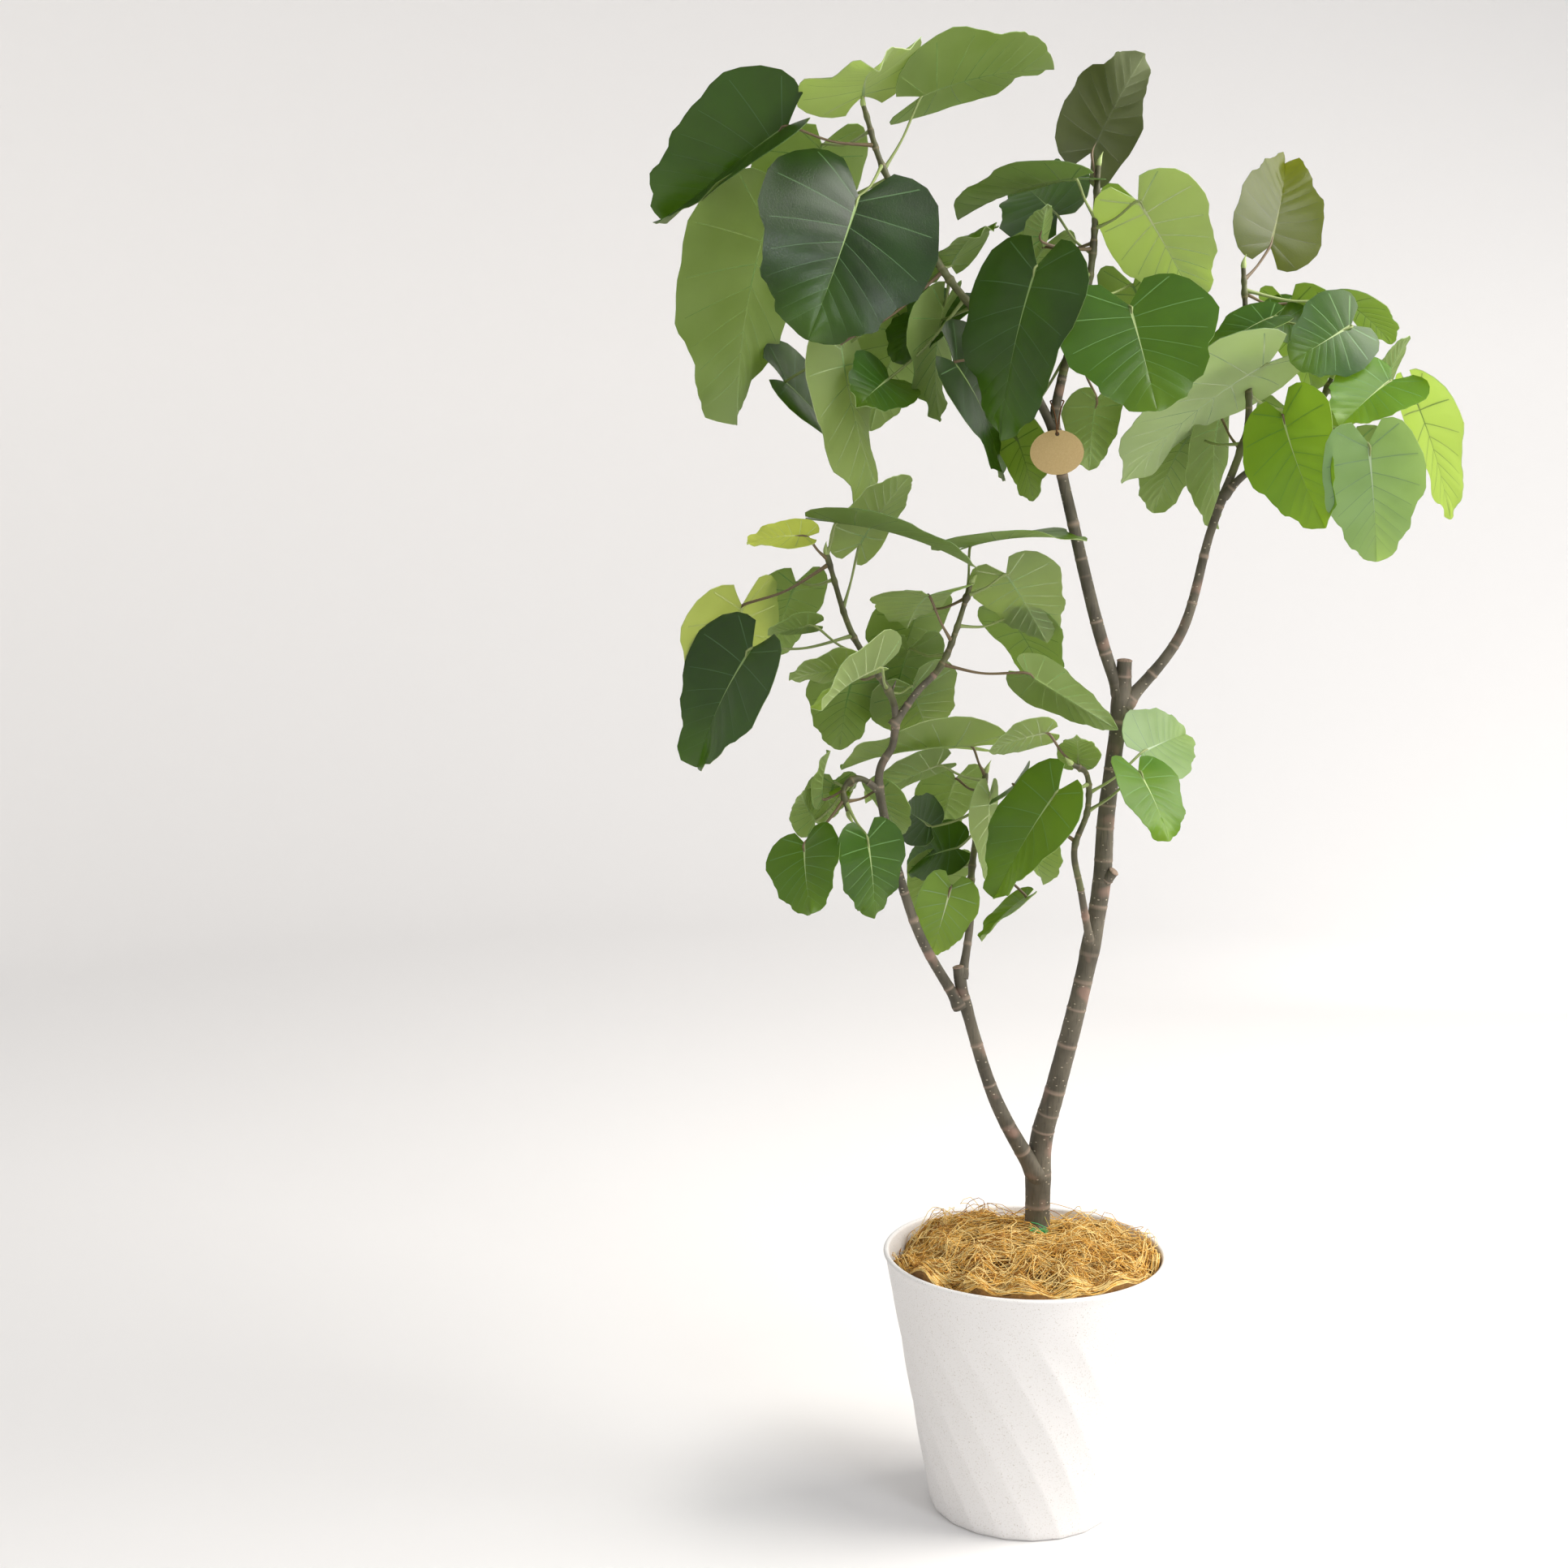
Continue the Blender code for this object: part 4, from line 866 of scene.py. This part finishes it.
def blade_places(u, v, leaf, curl, lift=0.0, margin=1.0):
    """Places on a blade of length 1: u is where a side vein leaves the midrib, v how far out on it, -1 to 1.

    A side vein sweeps forward to the margin in a shallow bow. Lift raises the blade from its own plane.
    """
    out = np.abs(v)
    x, y = margin_places(1 - (1 - u) ** VEIN_SWEEP, leaf.wide)
    tip_run = u + DRIP_TIP * u**DRIP_POWER
    bow = VEIN_BOW * out * (1 - out) * y * (1 - np.exp(-u / BOW_FROM))
    x = tip_run + (x - tip_run) * out * margin - bow
    y = y * out * margin
    bend = math.radians(curl)
    lift = lift + y * math.sin(math.radians(leaf.fold))
    ahead = np.sin(bend * x) / bend + lift * np.sin(bend * x)
    up = (np.cos(bend * x) - 1) / bend + lift * np.cos(bend * x)
    return np.stack([ahead, np.copysign(y, v) * math.cos(math.radians(leaf.fold)), up], -1)


def far_leaves(name, shoot, end, chance):
    """Leaves spaced along the shoot on the side away from the viewer."""
    size = FAR_SIZE * sum(leaf.size for leaf in LEAVES[name]) / len(LEAVES[name])
    first = shoot.bare + ROOT_CLEAR_MM
    leaves = []
    for k in range(shoot.far):
        at = first + (end - first) * (k + 0.5) / shoot.far
        heading = FAR_HEADING + FAR_SPREAD * (-1) ** k + chance.uniform(-FAR_VARIES, FAR_VARIES)
        rise = chance.uniform(-FAR_RISE, FAR_RISE)
        pitch = FAR_PITCH + chance.uniform(-FAR_VARIES, FAR_VARIES)
        leaves.append(Leaf(at, heading, rise, size * FAR_STALK, heading, pitch, 0, size))
    return leaves


def is_in_model(leaf, curl, base, mass):
    """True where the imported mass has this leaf: the model leaves out one that would touch a limb."""
    for u in PROBED_AT:
        middle = Vector(blade_places(np.float64(u), np.float64(0), leaf, curl))
        if mass.find_nearest((base + blade_axes(leaf) @ middle * leaf.size) * MM)[3] > PROBE_REACH:
            return False
    return True


# Each leaf that grows, by shoot: its row, its curl, where its stalk starts and where its blade begins.
Grown = namedtuple("Grown", "leaf curl start base")
growing = {}
for name, shoot in SHOOTS.items():
    chance = random.Random(shoot.mass)
    run = coarse[name]
    charted = [leaf._replace(at=max(leaf.at, shoot.bare + ROOT_CLEAR_MM)) for leaf in LEAVES[name]]
    curls = [LEAF_CURL + chance.uniform(-CURL_VARIES, CURL_VARIES) for _ in charted]
    far = far_leaves(name, shoot, lengths(run)[-1], chance)
    curls += [LEAF_CURL + chance.uniform(-CURL_VARIES, CURL_VARIES) for _ in far]
    mesh = frame["nodes"][shoot.mass].data
    mass = BVHTree.FromPolygons([v.co for v in mesh.vertices], [p.vertices[:] for p in mesh.polygons])
    growing[name] = []
    for leaf, curl in zip(charted + far, curls):
        start = along(run, leaf.at)[0]
        base = start + direction(leaf.heading, leaf.rise) * leaf.stalk
        if is_in_model(leaf, curl, base, mass):
            growing[name].append(Grown(leaf, curl, start, base))

# Young stem: a soft green skin going brown, still smooth, with a faint bloom.
young_stem_and_tip_glow, add, shader, place = new_material("green_brown_stem", 0.55)
tone, _ = mottled(add, place, 22 * MM, "#433F29", "#5C6038", 2.0)
ring = add("ShaderNodeAttribute", attribute_name="ring").outputs["Fac"]
share = add("ShaderNodeMath", ring, 0.6, operation="MULTIPLY")
feed(shader, Base_Color=add("ShaderNodeMix", Factor=share, A=tone, B=linear("#8C7A5C"), data_type="RGBA"))

stem_runs = []
for name, shoot in SHOOTS.items():
    joints = [one.leaf.at - shoot.bare for one in growing[name]]
    stem_runs.append(swollen(past(fine_routes[name], shoot.bare - 1), joints, *JOINT_SWELL_MM))
stem_sizes = {**limb_sizes, "Sides": 14, "Row length": 1.6 * MM, "Ring spacing": 0.016, "Ring width": 0.0010,
              "Ring rise": 0.0003, "Relief": 0.0003, "Relief size": 0.006, "Material": young_stem_and_tip_glow}
stems = grown(limb_lines("stem_lines", stem_runs), limb_tree, stem_sizes, "young_stems")
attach(stems, "root")

# Leaf stalks: green where the sun doesn't reach, ruddy brown on some, slightly thicker at both ends.
for label, codes, wanted in (("green_stalks", ("#76844A", "#95A364"), False),
                             ("ruddy_stalks", ("#5E4A3A", "#7C6C4A"), True)):
    skin, add, shader, place = new_material(label[:-1] + "_skin", 0.5)
    feed(shader, Base_Color=mottled(add, place, 30 * MM, *codes, 1.0, (0, 1))[0])
    runs = []
    for name in SHOOTS:
        for k, one in enumerate(growing[name]):
            if (k % 3 == 0) != wanted:
                continue
            axes = blade_axes(one.leaf)
            sink = np.float64(STALK_SINK_MM / one.leaf.size)
            inside = blade_places(sink, np.float64(0), one.leaf, one.curl)
            sunk = one.base + axes @ Vector(inside) * one.leaf.size
            middle = one.start.lerp(one.base, 0.5) + Vector((0, 0, -one.leaf.stalk * STALK_SAG))
            run = route((one.start, middle, one.base, sunk), STALK_RADII_MM, STALK_STEP_MM)
            runs.append(collared(run, *STALK_COLLAR))
    stalk_sizes = {**limb_sizes, "Sides": 8, "Row length": 3.5 * MM, "Ring rise": 0.0, "Relief": 0.0,
                   "Material": skin}
    stalks = grown(limb_lines(label + "_lines", runs), limb_tree, stalk_sizes, label)
    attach(stalks, "root")

# Buds: a leaf still rolled up in its pale green sheath, drawn out to a point.
BUD_LONG_MM = 15.0
BUD_RADII_MM = (2.3, 2.9, 2.6, 1.7, 0.8, 0.15)
BUD_SINK = 0.4
BUD_LEAN = Vector((0.25, 0.1, 0.0))
bud_skin, add, shader, place = new_material("bud_sheath", 0.45)
streaked = add("ShaderNodeMapping", Vector=place, Scale=(1.0, 1.0, 0.2))
feed(shader, Base_Color=mottled(add, streaked, 1.5 * MM, "#7F9A4C", "#B9C383", 1.0, (0, 1))[0])
bud_runs = []
for name in SHOOTS:
    tip, _, ahead = along(fine_routes[name], 1e9)
    bud_runs.append([(tip + (ahead * (k - BUD_SINK) + BUD_LEAN * k * k / 5) * BUD_LONG_MM / 5, radius)
                     for k, radius in enumerate(BUD_RADII_MM)])
bud_sizes = {**limb_sizes, "Sides": 12, "Row length": 1.0 * MM, "Ring rise": 0.0, "Relief": 0.0,
             "Material": bud_skin}
buds = grown(limb_lines("bud_lines", bud_runs), limb_tree, bud_sizes, "shoot_buds")
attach(buds, "root")


# Leaf blades
# Broad heart-shaped leaves, as thin as card: half glossy and dark green above, pale and matt below, with a
# pale midrib, two strong veins at the stalk and seven pairs of side veins that bend forward. The margin waves
# a little.

LEAF_THICK = 0.7 * MM
MIDRIB_MM = (1.5, 0.3)
SIDE_VEIN_MM = 0.42
SIDE_VEINS = (0.04, 0.13, 0.24, 0.35, 0.46, 0.57, 0.68, 0.79)
TIP_ROWS = (0.86, 0.91, 0.95, 0.98, 1.0)
SIDE_COLUMNS = (0.11, 0.25, 0.41, 0.58, 0.75, 0.90, 1.0)
QUILT = 0.007
CUP = 0.10
TIP_FADE = 0.14
VEIN_RISE_MM = 0.4
RIPPLE = (0.008, 0.034)
RIPPLES = (1.3, 2.9)
MARGIN_WAVE = 0.042
MARGIN_WAVES = (3.7, 8.9)
RIB_MOST = 0.08
VEIN_TAPER = 0.7
SWELL_POWER = 0.8
LEAF_SEED = 31

# The rows across a blade: two close together for each side vein, and two between neighbouring veins.
Row = namedtuple("Row", "u vein")
rows = [Row(0.0, 0)]
for vein in SIDE_VEINS:
    before = rows[-1].u
    rows += [Row(before + (vein - before) * share, 0) for share in ((0.33, 0.67) if before else (0.5,))]
    rows += [Row(vein, -1), Row(vein, 1)]
rows += [Row(u, 0) for u in TIP_ROWS]
row_u = np.array([row.u for row in rows])
row_vein = np.array([row.vein for row in rows])
starts_vein = row_vein[:-1] == -1


def leaf_grid(one, chance):
    """The blade's middle surface as places by row and column, its normals, and what each face is.

    A face is 0 for skin, 1 for midrib and 2 for side vein.
    """
    leaf = one.leaf
    half_width = np.hypot(*margin_places(1 - (1 - row_u) ** VEIN_SWEEP, leaf.wide)) + 0.002
    rib = np.minimum(np.interp(row_u, (0, 1), MIDRIB_MM) / leaf.size / half_width, RIB_MOST)[:, None]
    out = np.concatenate([rib, rib + (1 - rib) * np.array(SIDE_COLUMNS)], 1)
    v = np.concatenate([-out[:, ::-1], np.zeros((len(rows), 1)), out], 1)
    half_vein = row_vein[:, None] * SIDE_VEIN_MM / leaf.size * (1 - VEIN_TAPER * np.abs(v))
    u = np.clip(row_u[:, None] + half_vein, 0, 1)
    between = np.interp(row_u, (0.0, *SIDE_VEINS, 1.0), np.arange(len(SIDE_VEINS) + 2))[:, None]
    swell = np.abs(np.sin(np.pi * between)) ** SWELL_POWER * np.sin(np.pi * np.abs(v) ** SWELL_POWER)
    phase = np.where(v < 0, *chance.uniform(0, 1, 2))
    height = chance.uniform(*RIPPLE)
    waves = chance.uniform(*RIPPLES)
    ripple = height * np.sin(2 * np.pi * (waves * u + phase)) * np.abs(v) ** 3
    cup = chance.uniform(-CUP, CUP) * (v * half_width[:, None]) ** 2
    at_tip = np.minimum(1, (1 - u) / TIP_FADE)
    wave = sum(np.sin(2 * np.pi * (count * u + phase * count)) / count for count in MARGIN_WAVES)
    margin = 1 + MARGIN_WAVE * MARGIN_WAVES[0] * wave * np.abs(v) ** 4 * np.minimum(1, 4 * (1 - u))
    places = blade_places(u, v, leaf, one.curl, lift=QUILT * swell + (ripple + cup) * at_tip, margin=margin)
    normals = np.cross(np.gradient(places, axis=0), np.gradient(places, axis=1))
    long = np.linalg.norm(normals, axis=-1, keepdims=True)
    normals = np.where(long > 1e-9, normals / np.maximum(long, 1e-9), (0, 0, 1))
    what = np.zeros((len(rows) - 1, v.shape[1] - 1), int)
    what[starts_vein, 1:-1] = 2
    middle = v.shape[1] // 2
    what[:-2, middle - 1:middle + 1] = 1
    return places, normals, what, u


def blade_mesh(one, chance):
    """Points in metres, faces, each face's skin, and how far each point lies towards the tip.

    A face's skin is 0 for upper, 1 for under, 2 for upper midrib, 3 for upper side vein and 4 for under vein.
    """
    places, normals, what, u = leaf_grid(one, chance)
    axes = np.array(blade_axes(one.leaf))
    middle = (np.array(one.base) + places @ axes.T * one.leaf.size) * MM
    upward = normals @ axes.T
    ribbed = np.zeros(places.shape[:2])
    for rows_by, columns_by in ((0, 0), (0, 1), (1, 0), (1, 1)):
        count, across = what.shape
        ribbed[rows_by:rows_by + count, columns_by:columns_by + across] += what > 0
    rise = np.minimum(ribbed, 1)[..., None] * VEIN_RISE_MM * MM
    upper = middle + upward * (LEAF_THICK / 2 + 0.15 * rise)
    under = middle - upward * (LEAF_THICK / 2 + rise)
    count, across = places.shape[:2]
    index = np.arange(count * across).reshape(count, across)
    shift = count * across
    a, b, c, d = index[:-1, :-1], index[:-1, 1:], index[1:, 1:], index[1:, :-1]
    top = np.stack([a, d, c, b], -1).reshape(-1, 4)
    low = np.stack([a, b, c, d], -1).reshape(-1, 4) + shift
    ring = np.concatenate([index[0, :-1], index[:-1, -1], index[-1, :0:-1], index[:0:-1, 0]])
    after = np.roll(ring, -1)
    edge = np.stack([ring, after, after + shift, ring + shift], -1)
    what = what.reshape(-1)
    kinds = np.concatenate([np.array((0, 2, 3))[what], np.array((1, 4, 4))[what], np.full(len(edge), 4)])
    points = np.concatenate([upper.reshape(-1, 3), under.reshape(-1, 3)])
    return points, np.concatenate([top, low, edge]), kinds, np.tile(u.reshape(-1), 2)


# Painted light: towards the tip the skin is mixed towards the colour of light through the blade, so the tip
# looks lit from behind.
TIP_GLOW_SHARE = 0.30


def leaf_skin(name, codes, glow, roughness, through, ior=1.50):
    """A leaf's skin: green flesh under a waxy film. Through is the share of light that passes the blade."""
    made, add, shader, place = new_material(name, roughness)
    tone, _ = mottled(add, place, 45 * MM, *codes)
    towards_tip = add("ShaderNodeAttribute", attribute_name="towards_tip").outputs["Fac"]
    # Painted light: near the tip the skin's colour turns towards the glow colour.
    young_stem_and_tip_glow = add("ShaderNodeMapRange", Value=towards_tip, From_Min=0.45, To_Max=TIP_GLOW_SHARE)
    tone = add("ShaderNodeMix", Factor=young_stem_and_tip_glow, A=tone, B=linear(glow), data_type="RGBA")
    cells = add("ShaderNodeTexVoronoi", Vector=place, Scale=1 / (3.2 * MM), feature="DISTANCE_TO_EDGE")
    net = add("ShaderNodeMapRange", Value=cells, From_Max=0.12)
    dimples = add("ShaderNodeBump", Strength=0.25, Distance=0.2 * MM, Height=net)
    feed(shader, IOR=ior, Base_Color=tone, Normal=dimples)
    lit = add("ShaderNodeBsdfTranslucent", Color=linear(glow))
    both = add("ShaderNodeMixShader", through, shader, lit)
    feed(made.node_tree.nodes["Material Output"], Surface=both)
    return made


# Leaf skins by tint: the upper face, the light through the leaf, the under face, the midrib and the side
# veins as they show from above, and the share of light that passes the blade. Veins are thicker, so less
# light passes them, and they read dark on a leaf lit from behind. Some tints are lit and shaded copies of the
# same green: painted shade, painted light and painted sheen.
PALE_GLOW = "#E4F0C0"
TINTS = {
    # Dark green, painted darker still: painted shade on leaves that lie in shadow.
    "deep": (("#10240A", "#1A360F"), "#6E9A26", ("#6C7C42", "#7B8A52"), "#86A25E", "#46683A", 0.34),
    "mid": (("#224A10", "#2E5816"), "#94B43A", ("#8CA05A", "#9BAE6C"), "#A8BC7C", "#628A48", 0.42),
    # Paler copy of the leaf's green: painted light on leaves lit from behind.
    "soft": (("#3C6A28", "#4A7830"), "#BCD06C", ("#BAC294", "#C6CEA2"), "#C8D0A4", "#84A26A", 0.60),
    # Pale grey-green copy of the leaf's green: painted sheen on leaves that face the bright window.
    "hazy": (("#6C8C62", "#84A278"), "#C4DC7C", ("#C2CAA8", "#CED6B6"), "#A4B892", "#6C8A60", 0.52),
    "fresh": (("#386A1C", "#487A22"), "#B4D048", ("#9CAE66", "#AABA78"), "#AEC27C", "#5E8A38", 0.52),
    "olive": (("#3C4A16", "#4A561E"), "#A0A428", ("#666C26", "#72762E"), "#707634", "#505820", 0.50),
    # Olive green darkened, with a dark underside: painted shade.
    "dusk": (("#2C3410", "#384216"), "#707820", ("#2C360E", "#363E14"), "#4C5620", "#343C14", 0.34),
    "lime": (("#A4B24E", "#B8C25C"), "#F0F288", ("#C4CE88", "#D0D898"), "#D4DC98", "#B4C070", 0.62),
}
GLOSSY, SATIN, MATT = 0.32, 0.42, 0.60
MATT_IOR = 1.36
UNDER_GAIN = 0.16
RIB_THROUGH = 0.15
VEIN_THROUGH = 0.20
skins = {}
for tint, (above, glow, under, rib, vein, through) in TINTS.items():
    skins[tint] = [leaf_skin(f"{tint}_leaf_{part}", *looks) for part, *looks in (
        ("upper_skin", above, glow, GLOSSY, through),
        ("under_skin", under, PALE_GLOW, MATT, through + UNDER_GAIN, MATT_IOR),
        ("midrib", (rib, rib), glow, SATIN, RIB_THROUGH),
        ("side_vein", (vein, vein), glow, SATIN, VEIN_THROUGH),
        ("under_vein", (under[0], vein), PALE_GLOW, MATT, VEIN_THROUGH, MATT_IOR))]

for name, shoot in SHOOTS.items():
    chance = np.random.default_rng(len(name) * LEAF_SEED + shoot.far)
    points, faces, kinds, reaches, shift = [], [], [], [], 0
    tints = sorted({one.leaf.tint for one in growing[name]})
    for one in growing[name]:
        blade_points, blade_faces, blade_kinds, blade_reaches = blade_mesh(one, chance)
        points.append(blade_points)
        faces.append(blade_faces + shift)
        kinds.append(blade_kinds + len(skins[one.leaf.tint]) * tints.index(one.leaf.tint))
        reaches.append(blade_reaches)
        shift += len(blade_points)
    mesh = bpy.data.meshes.new(shoot.mass + "_leaves")
    mesh.from_pydata(np.concatenate(points).tolist(), [], np.concatenate(faces).tolist())
    for tint in tints:
        for skin in skins[tint]:
            mesh.materials.append(skin)
    mesh.polygons.foreach_set("material_index", np.concatenate(kinds))
    mesh.attributes.new("towards_tip", "FLOAT", "POINT").data.foreach_set("value", np.concatenate(reaches))
    leaves = add_object(shoot.mass + "_leaves", mesh)
    shape = bmesh.new()
    shape.from_mesh(mesh)
    bmesh.ops.remove_doubles(shape, verts=shape.verts, dist=0.000002)
    shape.to_mesh(mesh)
    shape.free()
    mesh.shade_smooth()
    mesh.set_sharp_from_angle(angle=math.radians(62))
    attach(leaves, "root")
    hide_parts(shoot.mass)


# Tag and tie
# A small oval of bare kraft card, punched at the top and hung at the upper fork by a thin brown cord of two
# twisted plies. The card is left plain.

card, add, shader, place = new_material("bare_kraft_card", 0.85)
tone, pulp = mottled(add, place, 1.2 * MM, "#B99A68", "#D3B987", 4.0, (0, 1))
feed(shader, Base_Color=tone, Normal=add("ShaderNodeBump", Strength=0.3, Distance=0.2 * MM, Height=pulp))
frame["nodes"]["tag"].data.materials.clear()
frame["nodes"]["tag"].data.materials.append(card)

# Twisted jute cord: dull, brown, with fine slanting plies about 0.8 mm apart.
cord_skin, add, shader, place = new_material("twisted_jute_cord", 0.9)
plies = add("ShaderNodeTexWave", Vector=place, Scale=1 / (2.5 * MM), Distortion=1.5,
            bands_direction="DIAGONAL").outputs["Fac"]
tone = add("ShaderNodeMix", Factor=plies, A=linear("#4A2E1A"), B=linear("#7A5330"), data_type="RGBA")
feed(shader, Base_Color=tone, Normal=add("ShaderNodeBump", Strength=0.7, Distance=0.3 * MM, Height=plies))
frame["nodes"]["tag_tie"].data.materials.clear()
frame["nodes"]["tag_tie"].data.materials.append(cord_skin)


# Stage
# A seamless pale sweep: a round floor whose edge rises all round into a wall, so that every view has a plain
# ground.

FLOOR_RADIUS = 3.2
COVE_RADIUS = 1.6
WALL_TOP = 6.0
WALL_LEAN = 0.3
COVE_END = math.radians(86)
cove = [(FLOOR_RADIUS + COVE_RADIUS * math.sin(a), COVE_RADIUS * (1 - math.cos(a)))
        for a in np.linspace(0, COVE_END, 24)]
floor_rows = [(FLOOR_RADIUS * k / 12, 0.0) for k in range(12)]
sweep_profile = [*floor_rows, *cove, (cove[-1][0] + WALL_LEAN, WALL_TOP)]
sweep = turned("studio_sweep", sweep_profile, 96)
sweep.data.flip_normals()
sweep.data.shade_smooth()
paper, add, shader, place = new_material("white_studio_paper", 0.95)
feed(shader, Base_Color=linear("#EFEEED"))
sweep.data.materials.append(paper)


# Light
# Plain daylight from a broad window on the right, a weaker one above it and one in front, an even pale sky,
# and a glow on the wall behind the plant on the right.

world = bpy.data.worlds.new("pale_sky")
bpy.context.scene.world = world
world.use_nodes = True
feed(world.node_tree.nodes["Background"], Color=linear("#F3F5FA"), Strength=0.48)
CROWN = (0, 0, 0.9)
BACK_WALL = (1.3, 4.8, 0.9)
# Each lamp's name, its place, what it faces, its width in metres, its power in watts and its colour.
for name, place, aim, wide, power, code in (
        ("window_right", (2.6, 0.45, 2.3), CROWN, 2.7, 116, "#FFF9F2"),
        ("window_high", (1.5, -0.4, 3.0), CROWN, 1.5, 48, "#FFFDF8"),
        ("window_front", (1.9, -2.4, 1.9), CROWN, 1.0, 24, "#F4F8FF"),
        ("wall_glow", (1.5, 2.5, 1.1), BACK_WALL, 1.6, 10, "#FFFFFF")):
    data = bpy.data.lights.new(name, "AREA")
    data.shape = "SQUARE"
    data.size = wide
    data.energy = power
    data.color = linear(code)[:3]
    lamp = add_object(name, data)
    lamp.location = place
    lamp.rotation_euler = (Vector(aim) - Vector(place)).to_track_quat("-Z", "Y").to_euler()
    lamp.visible_camera = False


# Camera
# At a little over a metre high and 2.3 m away, it looks slightly down and to the left, so that the pot stands
# right of the middle of the square picture.

CAMERA_SPOT = (0, -2.26, 1.075)
CAMERA_TILT = math.radians(82.5)
CAMERA_TURN = math.radians(6.5)
LENS_MM = 50.31

camera_data = bpy.data.cameras.new("camera")
camera_data.sensor_width = 36
camera_data.lens = LENS_MM
camera_data.clip_end = 40
camera = add_object("camera", camera_data)
camera.location = CAMERA_SPOT
camera.rotation_euler = (CAMERA_TILT, 0, CAMERA_TURN)
bpy.context.scene.camera = camera
bpy.context.scene.view_settings.view_transform = "Standard"
